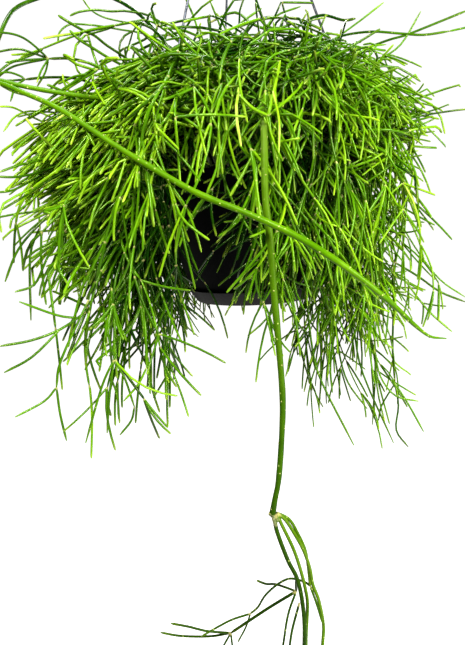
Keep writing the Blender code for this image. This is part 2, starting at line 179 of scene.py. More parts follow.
class Shader:
    """A node material in the making, with short calls for the nodes that it uses."""

    def __init__(self, name: str) -> None:
        """Start an empty material with one Principled shader.

        Args:
            name: Name of the material.
        """
        self.material = bpy.data.materials.new(name)
        self.material.use_nodes = True
        self.tree = self.material.node_tree
        self.surface = self.tree.nodes["Principled BSDF"]

    def node(self, kind: str, **settings: object) -> bpy.types.Node:
        """Add a node.

        Args:
            kind: Its type.
            **settings: Values of its properties.

        Returns:
            The new node.
        """
        made = self.tree.nodes.new(kind)
        for key, value in settings.items():
            setattr(made, key, value)
        return made

    def join(self, source: Socket, target: Socket) -> None:
        """Link one socket to another."""
        self.tree.links.new(source, target)

    def drive(self, name: str, source: Socket) -> None:
        """Link a socket to one of the Principled shader's inputs."""
        self.join(source, self.surface.inputs[name])

    def set(self, name: str, value: object) -> None:
        """Set a constant on the Principled shader's own socket."""
        self.surface.inputs[name].default_value = value

    def place(self) -> Socket:
        """Return the object coordinates, in metres."""
        return self.node("ShaderNodeTexCoord").outputs["Object"]

    def attribute(self, name: str) -> Socket:
        """Return the value of a number stored on the mesh."""
        return self.node("ShaderNodeAttribute", attribute_name=name).outputs["Fac"]

    def noise(self, scale: float, detail: float = 3.0, rough: float = 0.55) -> Socket:
        """Return noise from 0 to 1.

        Args:
            scale: Number of features per metre.
            detail: Number of finer layers.
            rough: Strength of each finer layer.

        Returns:
            The noise at the shaded place.
        """
        made = self.node("ShaderNodeTexNoise")
        self.join(self.place(), made.inputs["Vector"])
        made.inputs["Scale"].default_value = scale
        made.inputs["Detail"].default_value = detail
        made.inputs["Roughness"].default_value = rough
        return made.outputs["Fac"]

    def spots(self, scale: float, radius: float, soft: float) -> Socket:
        """Return 1 inside small scattered spots and 0 between them.

        Args:
            scale: Number of spots per metre.
            radius: Radius of a spot, as a share of its cell.
            soft: Width of its soft edge, as a share of its cell.

        Returns:
            The share of spot at the shaded place.
        """
        cells = self.node("ShaderNodeTexVoronoi")
        self.join(self.place(), cells.inputs["Vector"])
        cells.inputs["Scale"].default_value = scale
        return self.step(cells.outputs["Distance"], radius + soft, radius)

    def step(self, value: Socket, low: float, high: float) -> Socket:
        """Return 0 to 1 as a value goes from low to high, eased.

        Args:
            value: The value.
            low: Where the result is 0; it may be the larger of the two.
            high: Where the result is 1.

        Returns:
            The eased share.
        """
        made = self.node("ShaderNodeMapRange", interpolation_type="SMOOTHSTEP")
        flip = low > high
        self.join(value, made.inputs["Value"])
        made.inputs["From Min"].default_value = min(low, high)
        made.inputs["From Max"].default_value = max(low, high)
        made.inputs["To Min"].default_value = 1.0 if flip else 0.0
        made.inputs["To Max"].default_value = 0.0 if flip else 1.0
        return made.outputs["Result"]

    def math(self, operation: str, first: Socket, second: Socket | float) -> Socket:
        """Work out a sum, product or other operation on two numbers.

        Args:
            operation: Name of the operation.
            first: The first number.
            second: The second one, as a socket or a constant.

        Returns:
            The result.
        """
        made = self.node("ShaderNodeMath", operation=operation)
        self.join(first, made.inputs[0])
        if isinstance(second, (int, float)):
            made.inputs[1].default_value = second
        else:
            self.join(second, made.inputs[1])
        return made.outputs["Value"]

    def times(self, first: Socket, second: Socket | float) -> Socket:
        """Return the product of two numbers."""
        return self.math("MULTIPLY", first, second)

    def ramp(self, value: Socket, stops: Sequence[tuple[float, Colour]]) -> Socket:
        """Turn a value into the colour of a ramp.

        Args:
            value: The value.
            stops: Entries of (value, colour).

        Returns:
            The colour.
        """
        made = self.node("ShaderNodeValToRGB")
        band = made.color_ramp
        while len(band.elements) < len(stops):
            band.elements.new(0.5)
        for element, (position, colour) in zip(band.elements, stops):
            element.position = position
            element.color = (*colour, 1)
        self.join(value, made.inputs["Fac"])
        return made.outputs["Color"]

    def mix(self, share: Socket, first: Socket, second: Colour) -> Socket:
        """Turn one colour into another as a share goes from 0 to 1.

        Args:
            share: Share of the second colour.
            first: The first colour.
            second: The second one.

        Returns:
            The mixed colour.
        """
        made = self.node("ShaderNodeMix", data_type="RGBA")
        self.join(share, made.inputs[0])
        self.join(first, made.inputs[6])
        made.inputs[7].default_value = (*second, 1)
        return made.outputs[2]

    def span(self, share: Socket, low: float, high: float) -> Socket:
        """Return a number that goes from low to high as the share goes from 0 to 1.

        Args:
            share: The share.
            low: The number at 0.
            high: The number at 1.

        Returns:
            The number.
        """
        made = self.node("ShaderNodeMapRange")
        self.join(share, made.inputs["Value"])
        made.inputs["To Min"].default_value = low
        made.inputs["To Max"].default_value = high
        return made.outputs["Result"]

    def bump(self, height: Socket, strength: float, depth: float) -> None:
        """Give the surface relief.

        Args:
            height: Height of the relief, from 0 to 1.
            strength: How strongly it shows.
            depth: Its depth in metres.
        """
        made = self.node("ShaderNodeBump")
        made.inputs["Strength"].default_value = strength
        made.inputs["Distance"].default_value = depth
        self.join(height, made.inputs["Height"])
        self.drive("Normal", made.outputs["Normal"])


@dataclass(frozen=True)
class StemFinish:
    """The skin of living stems: waxy green, paler at growing tips, corky at old feet."""

    name: str
    # shade: the darkest green, used as the painted shade of stems deep inside the plant.
    shade: Colour = (0.003, 0.025, 0.0003)
    leaf: Colour = (0.050, 0.148, 0.0008)
    lime: Colour = (0.168, 0.322, 0.0040)
    lemon: Colour = (0.480, 0.580, 0.1000)
    tip: Colour = (0.340, 0.480, 0.0300)
    callus: Colour = (0.300, 0.270, 0.090)
    cork: Colour = (0.110, 0.085, 0.035)
    withered: Colour = (0.300, 0.170, 0.050)
    areole: Colour = (0.450, 0.520, 0.120)
    roughness: float = 0.20
    gloss: float = 0.22
    sheen: tuple[float, float, float, float] = (0.80, 1.0, 0.35, 1.0)
    mottle_scale: float = 55
    mottle_share: float = 0.55
    grain_scale: float = 900
    areole_scale: float = 190
    relief: float = 0.25 * MM

    def material(self) -> bpy.types.Material:
        """Mix this skin.

        Returns:
            Its node material.
        """
        shader = Shader(self.name)
        cloud = shader.math("SUBTRACT", shader.noise(self.mottle_scale), 0.5)
        mottle = shader.times(cloud, self.mottle_share)
        grain = shader.noise(self.grain_scale, 2.0)
        tint = shader.math("ADD", shader.attribute("tint"), mottle)
        greens = ((0.0, self.shade), (0.4, self.leaf), (0.7, self.lime), (0.92, self.lemon))
        colour = shader.ramp(tint, greens)
        along = shader.attribute("along")
        fresh = shader.times(shader.step(along, 0.7, 1.1), shader.attribute("fresh"))
        colour = shader.mix(fresh, colour, self.tip)
        dots = shader.spots(self.areole_scale, 0.10, 0.05)
        colour = shader.mix(shader.times(dots, 0.35), colour, self.areole)
        cork = shader.times(shader.attribute("cork"), shader.step(grain, 0.3, 0.62))
        colour = shader.mix(cork, colour, self.cork)
        joint = shader.times(shader.step(along, 0.05, 0.015), 0.7)
        colour = shader.mix(joint, colour, self.callus)
        dry = shader.times(shader.step(along, 0.5, 0.8), shader.attribute("dry"))
        shader.drive("Base Color", shader.mix(dry, colour, self.withered))
        rough = shader.span(grain, self.roughness - 0.1, self.roughness + 0.14)
        shader.drive("Roughness", rough)
        shader.bump(shader.math("ADD", grain, dots), 0.35, self.relief)
        shader.set("Specular IOR Level", self.gloss)
        shader.set("Specular Tint", self.sheen)
        return shader.material


@dataclass(frozen=True)
class PlasticFinish:
    """Black moulded plastic, with a fine grain, dust and dried water marks."""

    name: str
    base: Colour = (0.0007, 0.0008, 0.0010)
    worn: Colour = (0.0014, 0.0016, 0.0020)
    dust: Colour = (0.004, 0.004, 0.0045)
    roughness: float = 0.42
    gloss: float = 0.035
    cloud_scale: float = 38
    grain_scale: float = 1600
    mark_scale: float = 160
    relief: float = 0.12 * MM

    def material(self) -> bpy.types.Material:
        """Mix this plastic.

        Returns:
            Its node material.
        """
        shader = Shader(self.name)
        cloud = shader.noise(self.cloud_scale, 5.0)
        grain = shader.noise(self.grain_scale, 2.0)
        colour = shader.ramp(cloud, ((0.3, self.base), (0.75, self.worn)))
        marks = shader.times(shader.step(shader.noise(self.mark_scale, 4.0), 0.56, 0.74), 0.35)
        shader.drive("Base Color", shader.mix(marks, colour, self.dust))
        rough = shader.span(cloud, self.roughness - 0.08, self.roughness + 0.2)
        shader.drive("Roughness", rough)
        shader.bump(grain, 0.25, self.relief)
        shader.set("Specular IOR Level", self.gloss)
        return shader.material


@dataclass(frozen=True)
class SteelFinish:
    """Drawn steel wire with a dulled zinc coat, streaked along its length."""

    name: str
    bright: Colour = (0.085, 0.092, 0.105)
    dull: Colour = (0.030, 0.034, 0.040)
    roughness: float = 0.38
    coat_scale: float = 260
    draw_scale: float = 2400
    relief: float = 0.05 * MM

    def material(self) -> bpy.types.Material:
        """Mix this steel.

        Returns:
            Its node material.
        """
        shader = Shader(self.name)
        coat = shader.noise(self.coat_scale, 4.0)
        draw = shader.noise(self.draw_scale, 2.0)
        shader.drive("Base Color", shader.ramp(coat, ((0.32, self.dull), (0.68, self.bright))))
        rough = shader.span(coat, self.roughness - 0.08, self.roughness + 0.22)
        shader.drive("Roughness", rough)
        shader.bump(draw, 0.2, self.relief)
        shader.set("Metallic", 1.0)
        return shader.material


@dataclass(frozen=True)
class SoilFinish:
    """Dark peat with paler fibres; grains take their own shade from their attribute."""

    name: str
    peat: Colour = (0.016, 0.010, 0.006)
    fibre: Colour = (0.085, 0.052, 0.028)
    grit: Colour = (0.62, 0.60, 0.55)
    crumb_scale: float = 420
    relief: float = 1.2 * MM

    def material(self) -> bpy.types.Material:
        """Mix this soil.

        Returns:
            Its node material.
        """
        shader = Shader(self.name)
        crumbs = shader.noise(self.crumb_scale, 6.0, 0.7)
        colour = shader.ramp(crumbs, ((0.35, self.peat), (0.8, self.fibre)))
        pale = shader.step(shader.attribute("grit"), 0.86, 0.9)
        shader.drive("Base Color", shader.mix(pale, colour, self.grit))
        shader.bump(crumbs, 0.8, self.relief)
        shader.set("Roughness", 0.95)
        shader.set("Specular IOR Level", 0.2)
        return shader.material


class Layer(Enum):
    """The three rings of shoots, from the middle of the pot to its edge."""

    OUTER_DOME = "outer dome"
    MIDDLE_DOME = "middle dome"
    INNER_DOME = "inner dome"


@dataclass(frozen=True)
class Crown:
    """How the shoots of one ring leave the soil and how bushy they become."""

    azimuths: tuple[int, ...]
    base_radius: float
    leans: tuple[float, ...]
    first_joint: float
    most_tips: int
    spread: float
    shells: Band


CROWNS = {
    Layer.OUTER_DOME: Crown(
        azimuths=tuple(range(13, 360, 40)),
        base_radius=24 * MM,
        leans=(0, 6, 12, 18, 25, 32, 40),
        first_joint=92 * MM,
        most_tips=78,
        spread=20,
        shells=(0.86, 1.0),
    ),
    Layer.MIDDLE_DOME: Crown(
        azimuths=tuple(range(0, 360, 30)),
        base_radius=52 * MM,
        leans=(4, 15, 26, 37, 50),
        first_joint=70 * MM,
        most_tips=62,
        spread=14,
        shells=(0.72, 0.92),
    ),
    Layer.INNER_DOME: Crown(
        azimuths=tuple(range(21, 360, 24)),
        base_radius=80 * MM,
        leans=(8, 25, 42, 58),
        first_joint=50 * MM,
        most_tips=56,
        spread=10,
        shells=(0.56, 0.78),
    ),
}


@dataclass(frozen=True)
class Habit:
    """The shape that the plant fills: nested domes with curtains hanging from their edges.

    A place's shell is its share of the way from the middle, 0, to the plant's skin, 1.
    Lobes change a value round the plant, and a band is where one thing turns into another.
    """

    half_width: float = 164 * MM
    top: float = 86 * MM
    shoulder: float = -2 * MM
    reach: float = 168 * MM
    hang: float = 172 * MM
    width_lobes: Lobes = ((206, 38, 0.56), (268, 26, 0.12), (0, 46, -0.14))
    shoulder_lobes: Lobes = ((213, 40, -110 * MM),)
    top_lobes: Lobes = ((188, 36, -56 * MM), (350, 46, -15 * MM))
    reach_lobes: Lobes = ((213, 34, 42 * MM), (268, 24, 20 * MM), (0, 46, -28 * MM))
    hang_lobes: Lobes = (
        (231, 22, 98 * MM), (194, 22, -130 * MM), (324, 30, 92 * MM), (254, 12, -34 * MM),
        (291, 15, -42 * MM), (92, 38, -16 * MM), (150, 22, 34 * MM),
    )
    comb_lobes: Lobes = ((236, 22, -0.9), (292, 22, 0.3))
    lift_lobes: Lobes = ((205, 33, 0.84),)
    brush_lobes: Lobes = ((2, 40, 1.0),)
    thick_lobes: Lobes = ((212, 48, 0.30),)
    # Paler, yellower green on the left lobe and a little darker green on the right: partly the
    # stems' own hue, partly painted light on the lit left side.
    hue_and_painted_light_lobes: Lobes = ((205, 50, 0.08), (345, 50, -0.02))
    # Painted shade: a darker green at the front of the crown, above the rim.
    crown_painted_shade_lobes: Lobes = ((276, 48, 1.1),)
    # Painted shade: a darker green low on the front-left curtain.
    curtain_painted_shade_lobes: Lobes = ((224, 34, 1.0),)
    calm_lobes: Lobes = ((206, 38, 0.9), (305, 26, 0.5), (80, 80, 0.3))
    stop_lobes: Lobes = ((206, 26, 1.0), (0, 40, 0.5))
    brushes: float = 0.42
    parting: float = -41 * MM
    parting_width: float = 27 * MM
    parting_top: float = 6 * MM
    spring_depth: float = 50 * MM
    spring_pull: float = 0.85
    spring_band: Band = (0.02, 0.30)
    skin_push: float = 0.9
    skin_band: float = 0.12
    edge_band: Band = (50 * MM, 110 * MM)
    brow_band: Band = (15 * MM, 90 * MM)
    spray_fall: float = 0.28
    wall_room: float = 6 * MM
    wall_stray: float = 90 * MM
    calm_room: float = 16 * MM
    brush_room: float = 20 * MM
    # Painted shade of the stems deep inside the plant: less low down, more at the top middle of the
    # crown.
    light_band: Band = (0.62, 1.0)
    low_light: float = 0.75
    low_band: Band = (70 * MM, 150 * MM)
    crown_shade: float = 0.30
    crown_band: Band = (10 * MM, 70 * MM)
    crown_edge: Band = (0.4, 0.95)
    calm_band: Band = (-5 * MM, 45 * MM)
    pot_wall: float = 105 * MM
    pot_foot: float = 62 * MM
    pot_over: float = 4 * MM
    pot_under: float = 3 * MM
    clearance: float = 4 * MM
    flange_room: float = 8 * MM
    flange_depth: float = 6 * MM

    def shell_at(self, place: Vector) -> tuple[float, Vector, Vector]:
        """Find where a place lies between the plant's middle and its skin.

        Args:
            place: The place.

        Returns:
            Its shell, the way down along that shell and the way out through it.
        """
        azimuth = azimuth_of(place)
        out = outward(azimuth)
        wide = self.half_width * (1 + lobe(azimuth, self.width_lobes))
        low = self.shoulder + lobe(azimuth, self.shoulder_lobes)
        tall = self.top + lobe(azimuth, self.top_lobes) - low
        across = math.hypot(place.x, place.y) / wide
        height = (place.z - RIM_Z - low) / tall
        if height <= 0:
            return across, Vector((0, 0, -1)), out
        shell = max(1e-3, math.hypot(across, height))
        down = out * (wide * height / shell) - Vector((0, 0, tall * across / shell))
        through = out * (across / wide) + Vector((0, 0, height / tall))
        return shell, down.normalized(), through.normalized()

    def heading(self, place: Vector, goal: float) -> Vector:
        """Return the direction that a stem bends to at this place.

        Args:
            place: Where the stem is.
            goal: The shell that this stem keeps to once it has come up to it.

        Returns:
            The direction, as a unit vector.
        """
        shell, down, through = self.shell_at(place)
        spring = (place - Vector((0, 0, SOIL_Z - self.spring_depth))).normalized()
        way = down.lerp(spring, self.spring_pull * ramp01(goal - shell, *self.spring_band))
        way -= through * self.skin_push * ramp01(shell - goal, 0.0, self.skin_band)
        azimuth = azimuth_of(place)
        out = ramp01(math.hypot(place.x, place.y), *self.edge_band)
        high = 1 - ramp01(RIM_Z - place.z, *self.brow_band)
        way += outward(azimuth + 90) * lobe(azimuth, self.comb_lobes) * out * high
        spray = outward(azimuth) - Vector((0, 0, self.spray_fall))
        way = way.lerp(spray, lobe(azimuth, self.lift_lobes) * out * high)
        return way.normalized()

    def far(self, azimuth: float) -> float:
        """Return how far out from the pot's axis the stems end at this azimuth."""
        return self.reach + lobe(azimuth, self.reach_lobes)

    def held_in(self, place: Vector, way: Vector, limit: float) -> Vector:
        """Turn a direction so that it doesn't lead out of the plant.

        Args:
            place: Where the stem is.
            way: The direction in which it grows.
            limit: The shell that it may go out to.

        Returns:
            The turned direction, as a unit vector.
        """
        shell, _, through = self.shell_at(place)
        leaving = max(0.0, way.dot(through))
        way = way - through * leaving * ramp01(shell, limit - 0.05, limit + 0.03)
        azimuth = azimuth_of(place)
        wall = self.far(azimuth) + self.wall_room + (limit - 1) * self.wall_stray
        wall += self.calm_room * lobe(azimuth, self.calm_lobes)
        wall += self.brush_room * lobe(azimuth, self.brush_lobes)
        leaving = max(0.0, way.dot(outward(azimuth)))
        outside = ramp01(math.hypot(place.x, place.y), wall - 12 * MM, wall + 4 * MM)
        return (way - outward(azimuth) * leaving * outside).normalized()

    def inside(self, place: Vector) -> float:
        """Tell how deep in the shade of the plant a place is; this depth darkens the stems' green as
        painted shade.

        Args:
            place: The place.

        Returns:
            The depth, from 0 in full light to 1 in the middle.
        """
        shell = self.shell_at(place)[0]
        across = math.hypot(place.x, place.y) / self.far(azimuth_of(place))
        light = ramp01(max(shell, across), *self.light_band)
        low = self.low_light * ramp01(RIM_Z - place.z, *self.low_band)
        crown = ramp01(place.z - RIM_Z, *self.crown_band) * (1 - ramp01(across, *self.crown_edge))
        return max((1 - light) * (1 - low), self.crown_shade * crown)

    def calm(self, place: Vector) -> float:
        """Return how neatly combed the stems are at this place, from 0 to 1."""
        low = 1 - ramp01(place.z - RIM_Z, *self.calm_band)
        return lobe(azimuth_of(place), self.calm_lobes) * low

    def hem(self, azimuth: float) -> float:
        """Return how far below the rim the stems end at this azimuth."""
        return self.hang + lobe(azimuth, self.hang_lobes)

    def parted(self, place: Vector) -> bool:
        """Tell whether a place lies in the parting in front of the pot."""
        aside = abs(place.x - self.parting) < self.parting_width
        return aside and place.y < 0 and place.z < RIM_Z + self.parting_top

    def clear_of_pot(self, place: Vector, radius: float) -> Vector:
        """Move a place outwards if it is inside the pot's wall.

        Args:
            place: The place.
            radius: Radius of the stem there.

        Returns:
            The moved place, or the same one if it is clear.
        """
        height = place.z - RIM_Z
        if height > self.pot_over or height < POT_FOOT_Z - RIM_Z - self.pot_under:
            return place
        share = min(1.0, max(0.0, -height / (RIM_Z - POT_FOOT_Z)))
        wall = self.pot_wall + (self.pot_foot - self.pot_wall) * share
        flange = self.flange_room if height > -self.flange_depth else 0
        least = wall + self.clearance + radius + flange
        flat = math.hypot(place.x, place.y)
        if flat >= least or flat < 1 * MM:
            return place
        return Vector((place.x * least / flat, place.y * least / flat, place.z))


# Painted shade: how much the green of stems deep inside the plant is darkened.
DEPTH_PAINTED_SHADE = 0.72
STATIONS = (0.0, 0.06, 0.3, 0.54, 0.77, 0.96, 1.0)
TAPER = (0.72, 0.97, 1.0, 1.0, 0.96, 0.9, 0.5)


@dataclass
class StemJoint:
    """One link of a shoot, from a joint to the next."""

    line: list[Vector]
    radii: list[float]
    shares: list[float]
    tint: float
    fresh: float = 0.0
    dry: float = 0.0
    cork: float = 0.0
    fade: float = 0.0

    def tints(self, habit: Habit) -> list[float]:
        """Return the green of every point: stems deep inside the plant are darker, as painted shade.
        """
        return [
            self.tint + self.fade * share - DEPTH_PAINTED_SHADE * habit.inside(place)
            for place, share in zip(self.line, self.shares)
        ]


@dataclass
class Tip:
    """The growing end of a stem while a bush is being made."""

    place: Vector
    way: Vector
    depth: int
    goal: float


class Ledge:
    """The thick shoots that lie on the outside, over all the thin stems under them."""

    near: float = 9 * MM
    far: float = 30 * MM
    gap: float = 5 * MM
    nearest_ray: float = 100 * MM
    eye = Vector(CAMERA_PLACE)

    def __init__(self, lines: Sequence[Sequence[Vector]]) -> None:
        """Note the way and the distance to every place of these lines from the front.

        Args:
            lines: The lines of the thick shoots.
        """
        rays = np.array([place - self.eye for line in lines for place in line])
        self.reach = np.linalg.norm(rays, axis=1)
        self.ways = rays / self.reach[:, None]

    def under(self, place: Vector) -> Vector:
        """Return the place, moved back where it would lie over one of the shoots.

        Args:
            place: A place on a thin stem.

        Returns:
            The place behind the nearest shoot, or the same place if none is near.
        """
        ray = place - self.eye
        reach = ray.length
        if reach < self.nearest_ray:
            return place
        across = self.ways @ np.array(ray / reach)
        nearest = int(across.argmax())
        apart = math.acos(min(1.0, float(across[nearest]))) * reach
        behind = float(self.reach[nearest]) + self.gap
        if apart > self.far or reach > behind:
            return place
        share = 1 - ramp01(apart, self.near, self.far)
        return self.eye + ray * ((reach + (behind - reach) * share) / reach)


@dataclass(frozen=True)
class Growth:
    """How the links of a bush turn, fork, end and take their green.

    Bands are heights or depths in metres. Of the pairs that random numbers are drawn from,
    lengths and girths are in mm and angles in degrees. Calm is where the plant is combed.
    """

    loose_band: Band = (5 * MM, 60 * MM)
    looseness: Band = (0.20, 0.25)
    arc_spread: Band = (34, 44)
    goals: Band = (0.5, 1.0)
    goal_drift: float = 0.05
    green: float = 0.42
    green_spread: float = 0.12
    # Painted shade: a darker green at the front of the crown, above the rim.
    crown_painted_shade: float = 0.20
    crown_painted_shade_band: Band = (-5 * MM, 45 * MM)
    # Painted shade: a darker green low on the front-left curtain.
    curtain_painted_shade: float = 0.24
    curtain_painted_shade_band: Band = (30 * MM, 140 * MM)
    foot_depth: float = 5 * MM
    foot_stray: float = 7
    foot_lean: float = 5
    foot_length: Band = (0.7, 1.1)
    foot_girth: Band = (1.4, 1.8)
    foot_bend: float = 0.05
    foot_cork: Band = (0.1, 0.4)
    foot_green: float = 0.1
    front: float = 262
    front_gain: float = 0.35
    crowded: float = 1.25
    few_forks: float = 0.7
    hem_share: Band = (0.56, 0.44)
    hem_raise: float = 18 * MM
    far_share: Band = (0.78, 1.04)
    parted_stop: float = 0.88
    low_band: Band = (10 * MM, 130 * MM)
    high_band: Band = (0, 60 * MM)
    wild_band: Band = (15 * MM, 75 * MM)
    straight_on: Band = (2, 12)
    fork_opening: Band = (14, 34)
    wild_opening: Band = (35, 85)
    roll_drift: float = 0.4
    brush_fall: float = 0.3
    brush_pull: Band = (0.3, 1.1)
    brush_length: float = 0.82
    joint_length: Band = (26, 60)
    joint_girth: Band = (0.70, 0.93)
    bend: Band = (0.06, 0.14)
    stiff_bend: Band = (0.01, 0.05)
    stray: Band = (0, 0.05)
    wild_stray: Band = (0.1, 0.42)
    brush_stray: Band = (0.1, 0.26)
    wild_stop: float = 0.75
    brush_stop: float = 0.4
    tip_fresh: Band = (0, 0.55)
    dry_chance: float = 0.0015
    calm_link: float = 0.6
    calm_fork: float = 0.75
    first_forks: tuple[int, ...] = (3, 4)
    forks: tuple[int, ...] = (2, 3, 4)
    fork_weights: Point = (0.25, 0.5, 0.25)
    late_forks: tuple[int, ...] = (1, 2, 3)
    late_weights: Point = (0.12, 0.5, 0.25)
    hem_power: float = 1.7
    side_near: float = 0.12
    side_stop: float = 0.3
    edge_stops: Band = (0.85, 0.7)
    edge_depth: float = 25 * MM
    low_stop: Band = (0.08, 0.08)
    high_stop: float = 0.13
    wild_chance: Band = (0.05, 0.24)
    high_brush: float = 0.4
    first_length: float = 1.15
    high_length: float = 0.2
    high_bend: float = 0.35
    side_stray: float = 0.12
    first_girth: float = 1.12
    side_still: float = 0.5


class Bush:
    """One shoot of the plant, with all its forks."""

    rule = Growth()

    def __init__(
        self, node: str, layer: Layer, azimuth: float, seed: int, habit: Habit, ledge: Ledge
    ) -> None:
        """Note which CAD shoot this bush stands for and where it grows.

        Args:
            node: Name of the CAD shoot.
            layer: The ring that it stands in.
            azimuth: Where it stands round the pot, in degrees.
            seed: Seed of its random draws.
            habit: The shape that the plant fills.
            ledge: The thick shoots that it stays under.
        """
        self.ledge = ledge
        self.node = node
        self.crown = CROWNS[layer]
        self.azimuth = azimuth
        self.habit = habit
        self.chance = random.Random(seed)
        self.joints: list[StemJoint] = []

    def link(
        self, tip: Tip, way: Vector, length: float, radius: float, bend: float, stray: float
    ) -> tuple[StemJoint, Tip]:
        """Grow one link, which leaves in its own direction and bends to the plant's.

        Args:
            tip: The joint that it grows from.
            way: The unit direction in which it leaves.
            length: Length along the stem.
            radius: Thickness at its middle, as a radius.
            bend: Share of the way to the plant's heading that it turns every 10 mm.
            stray: How far out of the plant's skin it may go, as a share of a shell.

        Returns:
            The link and the tip at its end.
        """
        chance = self.chance
        place = tip.place.copy()
        line = [place]
        high = ramp01(place.z - RIM_Z, *self.rule.loose_band)
        free = 1 - self.rule.calm_link * self.habit.calm(place)
        loose = free * raised(self.rule.looseness, high)
        sway = Vector([chance.uniform(-1, 1) for _ in range(3)]) * loose
        side = way.orthogonal().normalized()
        side.rotate(Quaternion(way, chance.uniform(0, 2 * math.pi)))
        arc = math.radians(chance.gauss(0, raised(self.rule.arc_spread, high)) * free)
        for before, station in zip(STATIONS, STATIONS[1:]):
            step = (station - before) * length
            turn = 1 - (1 - bend) ** (step / (10 * MM))
            way = way.lerp(self.habit.heading(place, tip.goal) + sway, turn).normalized()
            way.rotate(Quaternion(side, arc * (station - before)))
            way = self.habit.held_in(place, way, 1 + stray)
            place = self.habit.clear_of_pot(place + way * step, radius)
            line.append(place)
        line = [line[0], *[self.ledge.under(place) for place in line[1:]]]
        place = line[-1]
        least, most = self.rule.goals
        drift = chance.uniform(-self.rule.goal_drift, self.rule.goal_drift)
        goal = min(most, max(least, tip.goal + drift))
        radii = [radius * share for share in TAPER]
        joint = StemJoint(line, radii, list(STATIONS), self.tint_at(place))
        return joint, Tip(place, way, tip.depth + 1, goal)

    def tint_at(self, place: Vector) -> float:
        """Draw the green of a link, with painted light and shade round the plant.

        Args:
            place: Where the link ends.

        Returns:
            Its tint, which is higher for a paler green.
        """
        habit = self.habit
        azimuth = azimuth_of(place)
        # Painted shade: a darker green at the front of the crown, above the rim.
        tall = ramp01(place.z - RIM_Z, *self.rule.crown_painted_shade_band)
        dim = self.rule.crown_painted_shade * tall * lobe(azimuth, habit.crown_painted_shade_lobes)
        # Painted shade: a darker green low on the front-left curtain.
        deep = ramp01(RIM_Z - place.z, *self.rule.curtain_painted_shade_band)
        dim += self.rule.curtain_painted_shade * deep * lobe(azimuth, habit.curtain_painted_shade_lobes)
        # Paler green on the left lobe: partly the stems' own hue, partly painted light.
        bright = lobe(azimuth, habit.hue_and_painted_light_lobes)
        return self.rule.green + bright - dim + self.chance.gauss(0, self.rule.green_spread)

    def fork(self, way: Vector, opening: float, roll: float) -> Vector:
        """Turn a direction away from the stem.

        Args:
            way: The stem's direction.
            opening: Angle from it, in degrees.
            roll: Where round the stem the new direction leaves, in radians.

        Returns:
            The new direction.
        """
        side = way.orthogonal().normalized()
        side.rotate(Quaternion(way, roll))
        out = way.copy()
        out.rotate(Quaternion(way.cross(side).normalized(), math.radians(opening)))
        return out

    def feet(self) -> list[Tip]:
        """Grow the first long joints out of the soil.

        Returns:
            Their ends.
        """
        chance = self.chance
        stray, tilt = self.rule.foot_stray, self.rule.foot_lean
        tips = []
        for lean in self.crown.leans:
            azimuth = self.azimuth + chance.uniform(-1, 1) * self.crown.spread
            base = outward(azimuth) * (self.crown.base_radius + chance.uniform(-stray, stray) * MM)
            base.z = SOIL_Z - self.rule.foot_depth
            angle = math.radians(lean + chance.uniform(-tilt, tilt))
            way = outward(azimuth) * math.sin(angle) + Vector((0, 0, math.cos(angle)))
            foot = Tip(base, way, 0, chance.uniform(*self.crown.shells))
            length = self.crown.first_joint * chance.uniform(*self.rule.foot_length)
            radius = chance.uniform(*self.rule.foot_girth) * MM
            joint, tip = self.link(foot, way, length, radius, self.rule.foot_bend, 0)
            joint.cork = chance.uniform(*self.rule.foot_cork)
            joint.tint = self.rule.foot_green
            self.joints.append(joint)
            tips.append(tip)
        return tips

    def count_children(self, tip: Tip, open_tips: int) -> int:
        """Draw how many links grow from a joint.

        Args:
            tip: The joint.
            open_tips: Number of other tips of the bush that still grow.

        Returns:
            The number of links.
        """
        front = 1 + self.rule.front_gain * math.cos(math.radians(self.azimuth - self.rule.front))
        full = open_tips / (self.crown.most_tips * front)
        if tip.depth <= 1:
            return self.chance.choice(self.rule.first_forks)
        if full > 1:
            return 1 if full < self.rule.crowded else self.chance.choice((0, 1))
        if tip.depth <= 3:
            return self.chance.choices(self.rule.forks, self.rule.fork_weights)[0]
        one, two, three = self.rule.late_weights
        weights = (one + self.rule.few_forks * full, two, three)
        return self.chance.choices(self.rule.late_forks, weights)[0]

    def ends_here(self, tip: Tip) -> bool:
        """Draw whether a stem stops growing.

        Args:
            tip: The end that it has reached.

        Returns:
            Whether it stops there.
        """
        chance = self.chance
        depth = RIM_Z - tip.place.z
        azimuth = azimuth_of(tip.place)
        share = raised(self.rule.hem_share, chance.random() ** self.rule.hem_power)
        if depth > self.habit.hem(azimuth) * share - self.rule.hem_raise:
            return True
        across = math.hypot(tip.place.x, tip.place.y)
        sides = lobe(azimuth, self.habit.stop_lobes)
        near = self.rule.side_near * sides
        if across > self.habit.far(azimuth) * (chance.uniform(*self.rule.far_share) - near):
            stop = self.rule.edge_stops[0 if depth < self.rule.edge_depth else 1]
            return chance.random() < stop + self.rule.side_stop * sides
        if self.habit.parted(tip.place) and chance.random() < self.rule.parted_stop:
            return True
        low = ramp01(depth, *self.rule.low_band)
        high = ramp01(-depth, *self.rule.high_band)
        stop = raised(self.rule.low_stop, low) + self.rule.high_stop * high
        return tip.depth > 2 and chance.random() < stop

    def grow(self) -> None:
        """Grow the whole bush, joint after joint."""
        tips = self.feet()
        while tips:
            tip = tips.pop(0)
            count = self.count_children(tip, len(tips))
            roll = self.chance.uniform(0, 2 * math.pi)
            for child in range(count):
                self.grow_child(tip, tips, child, roll + child * 2 * math.pi / count)

